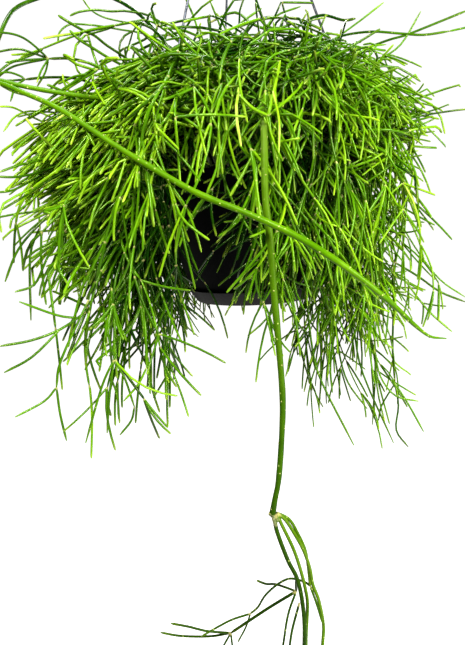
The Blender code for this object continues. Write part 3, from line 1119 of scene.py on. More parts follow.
    def grow_child(self, tip: Tip, tips: list[Tip], child: int, roll: float) -> None:
        """Grow one link from a joint, and note its end if it goes on growing.

        Args:
            tip: The joint.
            tips: The growing tips of the bush, which the new link's end may join.
            child: Number of the link at this joint; the first one leads straight on.
            roll: Where round the stem it leaves, in radians.
        """
        chance = self.chance
        high = ramp01(tip.place.z - RIM_Z, *self.rule.wild_band)
        azimuth = azimuth_of(tip.place)
        side_brush = lobe(azimuth, self.habit.brush_lobes)
        free = 1 - self.rule.calm_fork * self.habit.calm(tip.place)
        wild = chance.random() < raised(self.rule.wild_chance, high) * free
        brushes = self.habit.brushes * (1 - self.rule.high_brush * high) * free
        brushes *= 1 + side_brush
        brush = not wild and child > 0 and chance.random() < brushes
        opening = chance.uniform(*(self.rule.fork_opening if child else self.rule.straight_on))
        if wild:
            opening = chance.uniform(*self.rule.wild_opening)
        drift = chance.uniform(-self.rule.roll_drift, self.rule.roll_drift)
        way = self.fork(tip.way, opening, roll + drift)
        if brush:
            aside = outward(azimuth) - Vector((0, 0, self.rule.brush_fall))
            aside *= 1 + side_brush
            way = (way + aside * chance.uniform(*self.rule.brush_pull)).normalized()
        length = chance.uniform(*self.rule.joint_length) * MM
        length *= self.rule.first_length if tip.depth <= 2 else 1 - self.rule.high_length * high
        length *= self.rule.brush_length if brush else 1
        bend = chance.uniform(*self.rule.bend) * (1 - self.rule.high_bend * high)
        if wild or brush:
            bend = chance.uniform(*self.rule.stiff_bend)
        stray = chance.uniform(*self.rule.stray)
        if wild or brush:
            stray = chance.uniform(*(self.rule.wild_stray if wild else self.rule.brush_stray))
            stray += self.rule.side_stray * side_brush
        radius = chance.uniform(*self.rule.joint_girth) * MM
        radius *= self.rule.first_girth if tip.depth < 3 else 1
        radius *= 1 + lobe(azimuth, self.habit.thick_lobes)
        joint, grown = self.link(tip, way, length, radius, bend, stray)
        self.joints.append(joint)
        still = self.rule.brush_stop * (1 + self.rule.side_still * side_brush)
        stops = wild and chance.random() < self.rule.wild_stop
        stops = stops or (brush and chance.random() < still)
        if stops or self.ends_here(grown):
            joint.fresh = chance.uniform(*self.rule.tip_fresh)
            joint.dry = 1.0 if chance.random() < self.rule.dry_chance else 0.0
        else:
            tips.append(grown)


def evaluated_mesh(piece: bpy.types.Object) -> bpy.types.Mesh:
    """Make a plain mesh of what a piece and its modifiers make together.

    Args:
        piece: The piece.

    Returns:
        The new mesh.
    """
    bpy.context.view_layer.update()
    graph = bpy.context.evaluated_depsgraph_get()
    return bpy.data.meshes.new_from_object(piece.evaluated_get(graph))


class NodeTree:
    """A Geometry Nodes tree that turns a guide into a plain mesh with a skin."""

    def __init__(self, name: str, inputs: dict[str, str], result: str) -> None:
        """Start a tree with its named inputs and its result.

        Args:
            name: Name of the tree.
            inputs: Kind of every named input; the last one is the skin.
            result: Name of the geometry that comes out.
        """
        self.tree = bpy.data.node_groups.new(name, "GeometryNodeTree")
        face = self.tree.interface
        self.keys = {}
        for label, kind in inputs.items():
            socket = face.new_socket(label, in_out="INPUT", socket_type="NodeSocket" + kind)
            self.keys[label] = socket.identifier
        face.new_socket(result, in_out="OUTPUT", socket_type="NodeSocketGeometry")
        self.entry = self.node("NodeGroupInput").outputs

    def node(
        self, kind: str, feeds: dict[str | int, object] | None = None, **settings: object
    ) -> bpy.types.Node:
        """Add a node.

        Args:
            kind: Its type.
            feeds: What its inputs take: a socket of another node, or a value.
            **settings: Values of its properties.

        Returns:
            The new node.
        """
        made = self.tree.nodes.new(kind)
        for key, value in settings.items():
            setattr(made, key, value)
        for key, value in (feeds or {}).items():
            if isinstance(value, Socket):
                self.tree.links.new(value, made.inputs[key])
            else:
                made.inputs[key].default_value = value
        return made

    def finish(self, shape: Socket) -> None:
        """End the tree: realise every instance and give the result its skin.

        Args:
            shape: The geometry that the tree has made.
        """
        real = self.node("GeometryNodeRealizeInstances", {"Geometry": shape})
        skin = {"Geometry": real.outputs["Geometry"], "Material": self.entry["Skin"]}
        paint = self.node("GeometryNodeSetMaterial", skin)
        self.node("NodeGroupOutput", {0: paint.outputs["Geometry"]})

    def run(
        self, name: str, guide: bpy.types.Object, values: dict[str, object]
    ) -> bpy.types.Object:
        """Send a guide through the tree and remove it.

        Args:
            name: Name of the piece that comes out.
            guide: The object that goes in.
            values: Values of the named inputs.

        Returns:
            The piece, as a plain mesh object.
        """
        modifier = guide.modifiers.new(self.tree.name, "NODES")
        modifier.node_group = self.tree
        for label, value in values.items():
            modifier[self.keys[label]] = value
        mesh = evaluated_mesh(guide)
        mesh.name = name
        bpy.data.objects.remove(guide, do_unlink=True)
        return new_object(name, mesh)


class StemTubes:
    """Turns stem lines into closed tubes with a Geometry Nodes tree."""

    def __init__(self, habit: Habit) -> None:
        """Build the tree once; every bush uses it.

        Args:
            habit: The shape that the plant fills, which tells how much painted shade a place gets.
        """
        self.habit = habit
        tree = NodeTree(
            "Stem tubes", {"Lines": "Geometry", "Sides": "Int", "Skin": "Material"}, "Stems"
        )
        curves = tree.node("GeometryNodeMeshToCurve", {"Mesh": tree.entry["Lines"]})
        size = tree.node(
            "GeometryNodeInputNamedAttribute", {"Name": "stem_radius"}, data_type="FLOAT"
        )
        round_shape = {"Radius": 1.0, "Resolution": tree.entry["Sides"]}
        ring = tree.node("GeometryNodeCurvePrimitiveCircle", round_shape)
        sweep = tree.node("GeometryNodeCurveToMesh", {
            "Curve": curves.outputs["Curve"],
            "Profile Curve": ring.outputs["Curve"],
            "Scale": size.outputs["Attribute"],
            "Fill Caps": True,
        })
        smooth = tree.node("GeometryNodeSetShadeSmooth", {"Geometry": sweep.outputs["Mesh"]})
        tree.finish(smooth.outputs["Geometry"])
        self.tree = tree

    def build(
        self, name: str, joints: Sequence[StemJoint], skin: bpy.types.Material, sides: int = 5
    ) -> bpy.types.Object:
        """Return one plain mesh object that holds a tube for each link.

        Args:
            name: Name of the object.
            joints: The links, each a line with a thickness at every point.
            skin: Material of the tubes.
            sides: Number of sides of each tube.

        Returns:
            The finished object, at the origin.
        """
        points: list[Vector] = []
        edges: list[tuple[int, int]] = []
        values: dict[str, list[float]] = {
            "stem_radius": [], "along": [], "tint": [], "fresh": [], "dry": [], "cork": []
        }
        for joint in joints:
            first = len(points)
            count = len(joint.line)
            points.extend(joint.line)
            edges.extend((first + place, first + place + 1) for place in range(count - 1))
            values["stem_radius"].extend(joint.radii)
            values["along"].extend(joint.shares)
            values["tint"].extend(joint.tints(self.habit))
            for key in ("fresh", "dry", "cork"):
                values[key].extend([getattr(joint, key)] * count)
        lines = bpy.data.meshes.new(name + "_lines")
        lines.from_pydata(points, edges, [])
        for key, numbers in values.items():
            lines.attributes.new(key, "FLOAT", "POINT").data.foreach_set("value", numbers)
        guide = new_object(name + "_guide", lines)
        return self.tree.run(name, guide, {"Sides": sides, "Skin": skin})


def settle(piece: bpy.types.Object, nodes: Sequence[str]) -> None:
    """Tie a finished piece to the frame and report it.

    Args:
        piece: The finished object.
        nodes: The CAD nodes that it stands for.
    """
    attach(piece, "root")
    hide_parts(*nodes)
    piece.data.calc_loop_triangles()
    LOG.info("%s: %d triangles", piece.name, len(piece.data.loop_triangles))


def above_rim(line: Sequence[Point]) -> list[Vector]:
    """Return places in metres from places in mm, whose heights count from the rim."""
    return [Vector((x * MM, y * MM, RIM_Z + z * MM)) for x, y, z in line]


@dataclass(frozen=True)
class LedStem:
    """A long stem that stands out from the rest, with the places it passes, in mm.

    Heights are measured up from the rim.
    """

    line: tuple[Point, ...]
    thick: float
    tint: float
    fresh: float = 0.1
    cork: float = 0.0

    def joint(self, steps: int = 4) -> StemJoint:
        """Lay the stem as one link.

        Args:
            steps: Number of steps from each place of its line to the next.

        Returns:
            The link, a little thinner at its foot and pointed at its tip.
        """
        line = smooth_line(above_rim(self.line), steps)
        shares = even_shares(len(line))
        blunt = [0.72 + 0.28 * ramp01(share, 0, 0.05) for share in shares]
        ends = [1 - 0.5 * ramp01(share, 0.97, 1.0) for share in shares]
        radii = [self.thick * MM * a * b for a, b in zip(blunt, ends)]
        return StemJoint(line, radii, shares, self.tint, fresh=self.fresh, cork=self.cork)


# The first seven stems, the whorl at the upper left, have low tints: painted shade.
LEFT_STEMS = (
    LedStem(((-60, -10, 40), (-84, -18, 58), (-109, -30, 67), (-134, -55, 76),
             (-147, -70, 77), (-161, -85, 74)), 1.15, 0.12),
    LedStem(((-161, -85, 74), (-172, -90, 85), (-181, -95, 90), (-193, -100, 91),
             (-205, -104, 87)), 0.95, 0.12),
    LedStem(((-161, -85, 74), (-179, -80, 82), (-189, -80, 84), (-207, -80, 82)), 0.95, 0.15),
    LedStem(((-161, -85, 74), (-177, -100, 70), (-186, -105, 67), (-198, -112, 56)), 0.95, 0.18),
    LedStem(((-161, -85, 74), (-183, -75, 74), (-198, -70, 72), (-212, -70, 63)), 0.95, 0.2),
    LedStem(((-161, -85, 74), (-165, -95, 63), (-168, -100, 53)), 0.85, 0.3, fresh=1),
    LedStem(((-161, -85, 74), (-166, -80, 65), (-174, -80, 54)), 0.85, 0.35, fresh=1),
    LedStem(((-100, -30, 46), (-132, -50, 60), (-149, -60, 64), (-159, -70, 63),
             (-170, -80, 61), (-180, -90, 58)), 1.1, 0.12),
    LedStem(((-180, -90, 58), (-184, -90, 61), (-192, -95, 63), (-203, -101, 60)), 0.9, 0.2),
    LedStem(((-180, -90, 58), (-192, -85, 59), (-209, -85, 59)), 0.9, 0.25),
    LedStem(((-180, -90, 58), (-185, -100, 51), (-187, -110, 38)), 0.85, 0.3),
    LedStem(((-40, 10, 70), (-86, -40, 63), (-104, -30, 83), (-121, -40, 94),
             (-130, -45, 101), (-138, -50, 104), (-149, -55, 110), (-156, -60, 114)), 1.25, 0.32),
    LedStem(((-50, -20, 46), (-86, -40, 63), (-104, -60, 71), (-117, -65, 78),
             (-127, -70, 84), (-137, -75, 90), (-143, -80, 96)), 1.2, 0.45),
    LedStem(((-30, 5, 80), (-77, 0, 123), (-104, 0, 133), (-121, 0, 134), (-136, 0, 136),
             (-151, 0, 135), (-160, 0, 132)), 1.1, 0.3),
    LedStem(((-50, 5, 90), (-87, 0, 111), (-113, -10, 115), (-130, -20, 116), (-144, -20, 118),
             (-155, -25, 117), (-163, -30, 110), (-166, -30, 101)), 0.9, 0.42),
    LedStem(((-87, 10, 122), (-119, 10, 129), (-134, 10, 134), (-144, 10, 142),
             (-152, 10, 156)), 0.85, 0.45),
    LedStem(((-60, 20, 90), (-96, 16, 134), (-130, 8, 152), (-160, -6, 151), (-180, -30, 138),
             (-189, -60, 122), (-193, -80, 106), (-198, -95, 84), (-205, -104, 62)), 1.7, 0.10),
)
RIGHT_STEMS = (
    LedStem(((40, 0, 60), (76, 0, 73), (107, 0, 87), (135, 0, 96), (153, 0, 100),
             (181, 0, 109), (211, 0, 119)), 1.15, 0.15),
    LedStem(((20, -10, 62), (50, -20, 78), (76, -20, 91), (90, -20, 97), (116, -20, 99),
             (143, -20, 96), (163, -20, 94), (186, -20, 96)), 1.15, 0.15),
    LedStem(((186, -20, 96), (199, -20, 98), (216, -20, 101)), 0.95, 0.35),
    LedStem(((10, -20, 70), (36, -30, 93), (55, -30, 108), (68, -30, 112), (76, -30, 111),
             (89, -30, 107), (99, -30, 108)), 1.25, 0.12),
    LedStem(((-30, -40, 108), (-8, -50, 112), (6, -70, 96), (23, -80, 87), (45, -82, 84),
             (60, -82, 79), (75, -87, 66), (90, -92, 50)), 1.15, 0.5),
)
LOW_LEFT_STEMS = (
    LedStem(((-131, -165, -122), (-148, -175, -132), (-168, -180, -138), (-189, -185, -140)),
            1.05, 0.16),
    LedStem(((-148, -175, -132), (-167, -185, -149), (-186, -190, -158)), 1.0, 0.2),
    LedStem(((-128, -165, -113), (-148, -180, -153), (-153, -182, -173)), 1.0, 0.25),
    LedStem(((-153, -182, -173), (-162, -185, -182), (-181, -193, -190)), 0.9, 0.3),
    LedStem(((-153, -182, -173), (-153, -180, -194), (-151, -178, -215)), 0.95, 0.25),
    LedStem(((-110, -168, -105), (-109, -175, -132), (-111, -178, -156)), 1.0, 0.3),
    LedStem(((-111, -178, -156), (-121, -180, -175), (-136, -182, -216)), 0.95, 0.25),
    LedStem(((-111, -178, -156), (-117, -175, -183), (-122, -172, -213)), 0.95, 0.2),
    LedStem(((-111, -178, -156), (-105, -175, -170), (-100, -172, -194)), 0.9, 0.15),
    LedStem(((-100, -172, -194), (-103, -173, -204), (-112, -175, -214)), 0.9, 0.15),
    LedStem(((-115, -175, -169), (-112, -172, -185), (-113, -170, -203)), 0.85, 0.25),
    LedStem(((-90, -160, -105), (-88, -168, -137), (-89, -170, -165)), 0.95, 0.35),
    LedStem(((-89, -170, -165), (-96, -172, -177), (-107, -175, -188)), 0.9, 0.4),
    LedStem(((-137, -165, -126), (-150, -172, -122), (-174, -178, -110)), 0.95, 0.3),
    LedStem(((-155, -148, -50), (-170, -155, -65), (-180, -158, -78), (-189, -160, -97)),
            0.95, 0.12),
    LedStem(((-163, -150, -60), (-171, -153, -80), (-174, -158, -127)), 0.95, 0.15),
    LedStem(((-145, -155, -60), (-158, -160, -84), (-167, -163, -100), (-180, -168, -104)),
            0.95, 0.2),
)
FAR_LEFT_STEMS = (
    LedStem(((-140, -118, 0), (-157, -132, -8), (-173, -150, -14), (-184, -160, -19)), 0.95, 0.2),
    LedStem(((-142, -120, -8), (-160, -132, -17), (-174, -150, -22), (-186, -162, -22)),
            0.95, 0.15),
    LedStem(((-146, -122, -12), (-164, -132, -21), (-178, -150, -31), (-188, -162, -33)),
            0.9, 0.2),
    LedStem(((-144, -122, -16), (-162, -132, -27), (-173, -150, -37), (-187, -160, -46)),
            0.9, 0.15),
    LedStem(((-150, -95, 30), (-167, -105, 40), (-179, -122, 42), (-188, -130, 47)), 0.8, 0.55),
    LedStem(((-152, -95, 22), (-170, -102, 31), (-180, -122, 25), (-188, -130, 13)), 0.8, 0.6),
    LedStem(((-152, -98, 16), (-172, -105, 26), (-181, -122, 31), (-190, -130, 31)), 0.8, 0.6),
)
TOP_STEMS = (
    LedStem(((-34, -50, 70), (-39, -50, 92), (-43, -42, 111), (-51, -30, 134)), 1.0, 0.6),
    LedStem(((-16, -50, 64), (-18, -50, 84), (-21, -50, 101), (-29, -50, 123)), 0.95, 0.5),
    LedStem(((-14, -60, 64), (-11, -60, 84), (-5, -60, 99), (14, -60, 111)), 1.05, 0.55),
    LedStem(((6, -50, 76), (14, -50, 92), (26, -50, 107), (48, -50, 114)), 0.9, 0.45),
    LedStem(((60, -30, 82), (80, -30, 92), (100, -30, 104), (124, -30, 120)), 0.85, 0.5),
    LedStem(((70, -30, 72), (90, -30, 81), (108, -30, 84), (126, -30, 85)), 0.85, 0.5),
    LedStem(((100, -20, 66), (122, -20, 75), (142, -20, 87), (160, -20, 114)), 0.9, 0.3),
)
LOW_RIGHT_STEMS = (
    LedStem(((35, -130, -120), (39, -130, -167), (46, -130, -195), (71, -130, -250)), 0.95, 0.3),
    LedStem(((62, -120, -140), (55, -120, -182), (56, -120, -207)), 0.9, 0.35),
    LedStem(((62, -110, -150), (64, -110, -176), (71, -110, -202), (87, -110, -226)), 0.85, 0.2),
    LedStem(((76, -100, -130), (79, -100, -160), (86, -100, -198), (112, -100, -262)), 0.9, 0.2),
    LedStem(((97, -90, -125), (98, -90, -155), (99, -90, -195), (96, -90, -248)), 0.9, 0.15),
    LedStem(((117, -80, -110), (118, -80, -142), (117, -80, -180), (119, -80, -214)), 1.0, 0.15),
    LedStem(((119, -80, -214), (107, -80, -234), (104, -80, -248)), 0.85, 0.15),
    LedStem(((119, -80, -214), (122, -80, -235), (120, -80, -258), (131, -80, -275)), 0.9, 0.12),
    LedStem(((119, -80, -214), (131, -80, -234), (145, -80, -261)), 0.95, 0.35),
    LedStem(((96, -100, -177), (101, -100, -201), (114, -100, -219), (134, -100, -225)),
            0.85, 0.4),
    LedStem(((119, -80, -105), (139, -80, -118), (159, -80, -133), (181, -80, -143)), 1.0, 0.15),
    LedStem(((131, -60, -74), (146, -60, -99), (166, -60, -125), (189, -60, -142)), 0.8, 0.4),
    LedStem(((125, -90, -120), (145, -90, -147), (166, -90, -167)), 0.9, 0.45),
)
FRONT_STEMS = (
    LedStem(((-12, -200, 17), (-4, -204, 8), (5, -205, 3)), 1.15, 0.5),
    LedStem(((5, -205, 3), (7, -204, 9), (11, -195, 22), (16, -185, 40)), 1.05, 0.55),
    LedStem(((5, -205, 3), (20, -192, 15), (31, -175, 27), (32, -165, 35)), 0.95, 0.5),
    LedStem(((9, -202, 18), (12, -205, 0), (11, -206, -20)), 0.8, 0.75),
)
LED_STEMS = {
    "shoot_01": RIGHT_STEMS,
    "shoot_06": LEFT_STEMS + FAR_LEFT_STEMS + LOW_LEFT_STEMS,
    "shoot_07": FRONT_STEMS + TOP_STEMS,
    "shoot_09": LOW_RIGHT_STEMS,
}


@dataclass(frozen=True)
class LongShoot:
    """A thick old shoot: its line with heights above the rim, in mm, and its girth.

    Its open span is the part of its smoothed line that lies over the thin stems.
    """

    name: str
    node: str
    slot: str
    line: tuple[Point, ...]
    girth: tuple[Band, ...]
    whorl: tuple[LedStem, ...] = ()
    tint: float = 0.5
    fade: float = 0.0
    open_span: tuple[int | None, int | None] = (None, None)
    bud_gap: float = 7.5 * MM
    bud_turn: float = 2.4
    bud_sink: float = 0.9
    bud_end: float = 190 * MM

    def joint(self) -> StemJoint:
        """Lay the shoot's main stem.

        Returns:
            The stem, with slight knots, as one long link.
        """
        line = smooth_line(above_rim(self.line), 8)
        shares = even_shares(len(line))
        girth = np.interp(shares, *zip(*self.girth)) * MM
        knots = [0.035 * math.sin(61 * share) + 0.02 * math.sin(147 * share) for share in shares]
        radii = [wide * (1 + knot) for wide, knot in zip(girth, knots)]
        return StemJoint(line, radii, shares, self.tint, fade=self.fade)

    def open_line(self) -> list[Vector]:
        """Return the part of the line that lies over the thin stems."""
        return self.joint().line[slice(*self.open_span)]

    def buds(self, joint: StemJoint) -> list[tuple[Vector, Vector]]:
        """Set buds on the stem, in a spiral.

        Args:
            joint: The stem.

        Returns:
            The place of each bud and the way it faces.
        """
        found = []
        walked, turn = 0.0, 0.0
        for place, after, radius in zip(joint.line, joint.line[1:], joint.radii):
            way = (after - place).normalized()
            walked += (after - place).length
            if walked < self.bud_gap or place.z < POT_FOOT_Z - self.bud_end:
                continue
            walked = 0.0
            turn += self.bud_turn
            side = way.orthogonal().normalized()
            side.rotate(Quaternion(way, turn))
            found.append((place + side * radius * self.bud_sink, side))
        return found


LONG_HANGING = LongShoot(
    name="long_hanging_stem",
    node="long_hanging_shoot",
    slot="long_stem",
    line=((1, -12, -18), (3, -40, 36), (6, -84, 48), (8, -116, 46), (7, -144, 34), (5, -170, 16),
          (3, -196, -1), (2, -204, -20), (1, -212, -49), (3, -212, -76), (4, -212, -107),
          (6, -212, -148), (7, -212, -182), (5, -212, -212), (2, -212, -239), (-1, -212, -253),
          (-3, -211, -264)),
    girth=((0, 1.5), (0.1, 1.7), (0.3, 2.25), (0.6, 2.3), (0.8, 2.05), (0.95, 1.95), (0.985, 2.3),
           (1, 2.4)),
    tint=1.05,
    fade=-0.75,
    open_span=(52, 110),
    whorl=(
        LedStem(((-5, -211, -263), (-2, -211, -266), (1, -211, -270)), 2.0, 0.4, cork=0.3),
        LedStem(((-3, -212, -264), (-2, -213, -269), (-1, -213, -273)), 1.4, 0.2, cork=0.36),
        LedStem(((0, -211, -264), (3, -210, -273), (11, -208, -294), (16, -206, -313),
                 (19, -205, -329), (20, -205, -342), (18, -205, -374), (19, -207, -404),
                 (24, -208, -436)), 1.3, 0.7),
        LedStem(((0, -211, -264), (6, -208, -271), (13, -205, -285), (19, -203, -299),
                 (23, -202, -314), (25, -200, -328), (29, -200, -341), (32, -200, -362),
                 (31, -200, -382), (35, -199, -404), (44, -203, -430), (49, -210, -454)), 1.3, 0.74),
        LedStem(((-1, -212, -264), (-1, -212, -275), (6, -214, -298), (12, -215, -312),
                 (15, -216, -329), (16, -216, -352), (14, -214, -384), (8, -216, -414),
                 (3, -220, -446), (1, -223, -460)), 1.55, 0.12),
        LedStem(((0, -210, -264), (9, -206, -272), (15, -203, -285), (20, -201, -299),
                 (22, -200, -314), (23, -200, -329)), 1.15, 0.62),
        LedStem(((23, -200, -329), (19, -199, -326), (9, -197, -324), (0, -195, -329),
                 (-10, -192, -340), (-16, -190, -351), (-22, -189, -357)), 0.85, 0.15),
        LedStem(((23, -200, -329), (27, -202, -342), (31, -203, -358)), 0.95, 0.35),
        LedStem(((12, -214, -312), (12, -205, -324), (13, -196, -335)), 1.0, 0.1),
        LedStem(((13, -195, -336), (-1, -190, -333), (-9, -187, -334), (-16, -185, -332)),
                0.9, 0.08),
        LedStem(((13, -195, -336), (-6, -190, -351), (-21, -187, -363), (-38, -182, -378)),
                1.15, 0.12),
        LedStem(((-38, -182, -378), (-55, -178, -383), (-78, -172, -386), (-95, -168, -385)),
                0.95, 0.3),
        LedStem(((-38, -182, -378), (-56, -185, -373), (-70, -188, -366), (-83, -190, -361)),
                0.95, 0.2),
        LedStem(((-22, -189, -357), (-36, -192, -359), (-47, -194, -363), (-60, -196, -369)),
                0.85, 0.25),
        LedStem(((-38, -182, -378), (-46, -180, -394), (-50, -176, -410), (-49, -174, -424)),
                0.85, 0.3),
        LedStem(((-38, -182, -378), (-37, -178, -396), (-33, -176, -416), (-26, -176, -432)),
                0.85, 0.3),
        LedStem(((-22, -189, -357), (-26, -184, -372), (-33, -180, -388)), 0.75, 0.4),
        LedStem(((13, -195, -336), (6, -198, -353), (1, -200, -378), (-4, -201, -402)), 0.9, 0.2),
        LedStem(((14, -206, -338), (8, -204, -362), (4, -203, -386), (-3, -203, -410)),
                0.95, 0.15),
        LedStem(((31, -200, -382), (24, -196, -388), (16, -193, -400), (12, -192, -414)),
                0.85, 0.3),
        LedStem(((31, -200, -382), (32, -204, -398), (29, -207, -414), (30, -209, -430)),
                0.85, 0.4),
    ),
)
ARCHING_PARENT = LongShoot(
    name="arching_parent_stem",
    node="arching_shoot",
    slot="arching_stem",
    line=((-7, -9, -18), (-14, -24, 40), (-36, -58, 62), (-60, -92, 54), (-78, -114, 41),
          (-94, -122, 35), (-110, -128, 33), (-143, -132, 38), (-172, -130, 45), (-188, -127, 50),
          (-199, -124, 52)),
    girth=((0, 1.5), (0.15, 1.7), (0.9, 1.75), (1, 1.9)),
    open_span=(54, None),
)
ARCHING = LongShoot(
    name="arching_stem",
    node="arching_shoot",
    slot="arching_stem",
    line=((-199, -124, 52), (-187, -128, 48), (-171, -134, 40), (-139, -150, 23), (-97, -171, -7),
          (-67, -188, -27), (-41, -203, -43), (-13, -218, -56), (14, -231, -70), (37, -236, -85),
          (59, -232, -102), (80, -222, -120), (96, -212, -135), (109, -203, -145),
          (123, -195, -149)),
    girth=((0, 1.5), (0.04, 1.75), (0.3, 2.0), (0.6, 2.15), (0.8, 1.7), (0.92, 1.0), (0.98, 0.6),
           (1, 0.4)),
)


class Plant:
    """All the shoots of the plant, and its two long thick ones."""

    first_seed: int = 1000
    bud_heights: Point = (0, 0.25, 0.5)
    bud_radii: Point = (0.55 * MM, 0.5 * MM, 0.2 * MM)
    bud_shares: Point = (0.0, 0.01, 0.02)
    bud_tint: float = 0.9

    def __init__(self) -> None:
        """Prepare the tube tree and the skins."""
        self.habit = Habit()
        shoots = (LONG_HANGING, ARCHING_PARENT, ARCHING)
        self.ledge = Ledge([shoot.open_line() for shoot in shoots])
        self.tubes = StemTubes(self.habit)
        self.young = StemFinish("young stem skin").material()
        self.old = StemFinish(
            "long stem skin",
            shade=(0.004, 0.016, 0.0002),
            leaf=(0.017, 0.052, 0.0004),
            lime=(0.044, 0.100, 0.0012),
            lemon=(0.080, 0.132, 0.012),
            cork=(0.36, 0.33, 0.16),
            gloss=0.07,
            roughness=0.42,
        ).material()
        self.arching = StemFinish(
            "arching stem skin",
            leaf=(0.036, 0.110, 0.0002),
            lime=(0.088, 0.200, 0.0005),
            gloss=0.10,
            roughness=0.30,
        ).material()

    def build(self) -> None:
        """Grow every bush and lay every long shoot."""
        places = [(layer, azimuth) for layer in Layer for azimuth in CROWNS[layer].azimuths]
        total = 0
        for number, (layer, azimuth) in enumerate(places, 1):
            node = f"shoot_{number:02d}"
            seed = self.first_seed + number
            bush = Bush(node, layer, azimuth, seed, self.habit, self.ledge)
            bush.grow()
            bush.joints += [stem.joint() for stem in LED_STEMS.get(node, ())]
            total += len(bush.joints)
            piece = self.tubes.build(f"{node}_bush", bush.joints, self.young)
            settle(piece, [node])
        LOG.info("stem joints: %d", total)
        self.build_long(LONG_HANGING, self.old)
        self.build_long(ARCHING_PARENT, self.arching)
        self.build_long(ARCHING, self.arching)

    def build_long(self, shoot: LongShoot, skin: bpy.types.Material) -> None:
        """Lay one thick shoot with its buds, and its whorl if it has one.

        Args:
            shoot: The shoot.
            skin: Material of its stem.
        """
        main = shoot.joint()
        links = [main]
        for place, side in shoot.buds(main):
            line = [place + side * height * MM for height in self.bud_heights]
            bud = StemJoint(line, list(self.bud_radii), list(self.bud_shares), self.bud_tint)
            links.append(bud)
        piece = self.tubes.build(shoot.name, links, skin, sides=14)
        settle(piece, [shoot.node])
        if shoot.whorl:
            links = [stem.joint(6) for stem in shoot.whorl]
            piece = self.tubes.build(shoot.name + "_whorl", links, skin, sides=9)
            settle(piece, [shoot.node])


def rounded(corners: Sequence[tuple[float, float]], bend: float) -> list[tuple[float, float]]:
    """Round off the corners of a profile.

    Args:
        corners: Points (radius, height); those on the axis are kept as they are.
        bend: Radius of the rounding, where the edges beside it are long enough.

    Returns:
        The profile, with a short curve in place of every corner.
    """
    places = [Vector(corner) for corner in corners]
    line = [places[0]]
    for before, corner, after in zip(places, places[1:], places[2:]):
        room = min(bend, 0.4 * (corner - before).length, 0.4 * (after - corner).length)
        start = corner + (before - corner).normalized() * room
        end = corner + (after - corner).normalized() * room
        for share in even_shares(5):
            line.append(start.lerp(corner, share).lerp(corner.lerp(end, share), share))
    line.append(places[-1])
    return [(place.x, place.y) for place in line]


def lathe(
    name: str, corners: Sequence[tuple[float, float]], bend: float, steps: int = 112
) -> bpy.types.Object:
    """Turn a profile about the pot's axis into a closed body.

    Args:
        name: Name of the object.
        corners: Points (radius, height above the rim), from the axis round to the axis.
        bend: Radius of the rounding at the corners.
        steps: Number of steps round.

    Returns:
        The body, with its faces pointing out.
    """
    shape = bmesh.new()
    profile = rounded(corners, bend)
    line = [shape.verts.new((radius, 0, RIM_Z + height)) for radius, height in profile]
    edges = [shape.edges.new(pair) for pair in zip(line, line[1:])]
    bmesh.ops.spin(
        shape, geom=line + edges, cent=(0, 0, 0), axis=(0, 0, 1),
        angle=2 * math.pi, steps=steps, use_merge=True,
    )
    bmesh.ops.remove_doubles(shape, verts=shape.verts, dist=0.005 * MM)
    bmesh.ops.recalc_face_normals(shape, faces=shape.faces)
    return shape_object(name, shape)


def dress(piece: bpy.types.Object, skin: bpy.types.Material) -> None:
    """Shade a moulded piece smoothly up to its edges and give it its material.

    Args:
        piece: The piece.
        skin: Its material.
    """
    piece.data.shade_smooth()
    piece.data.set_sharp_from_angle(angle=SHARP_ANGLE)
    piece.data.materials.clear()
    piece.data.materials.append(skin)


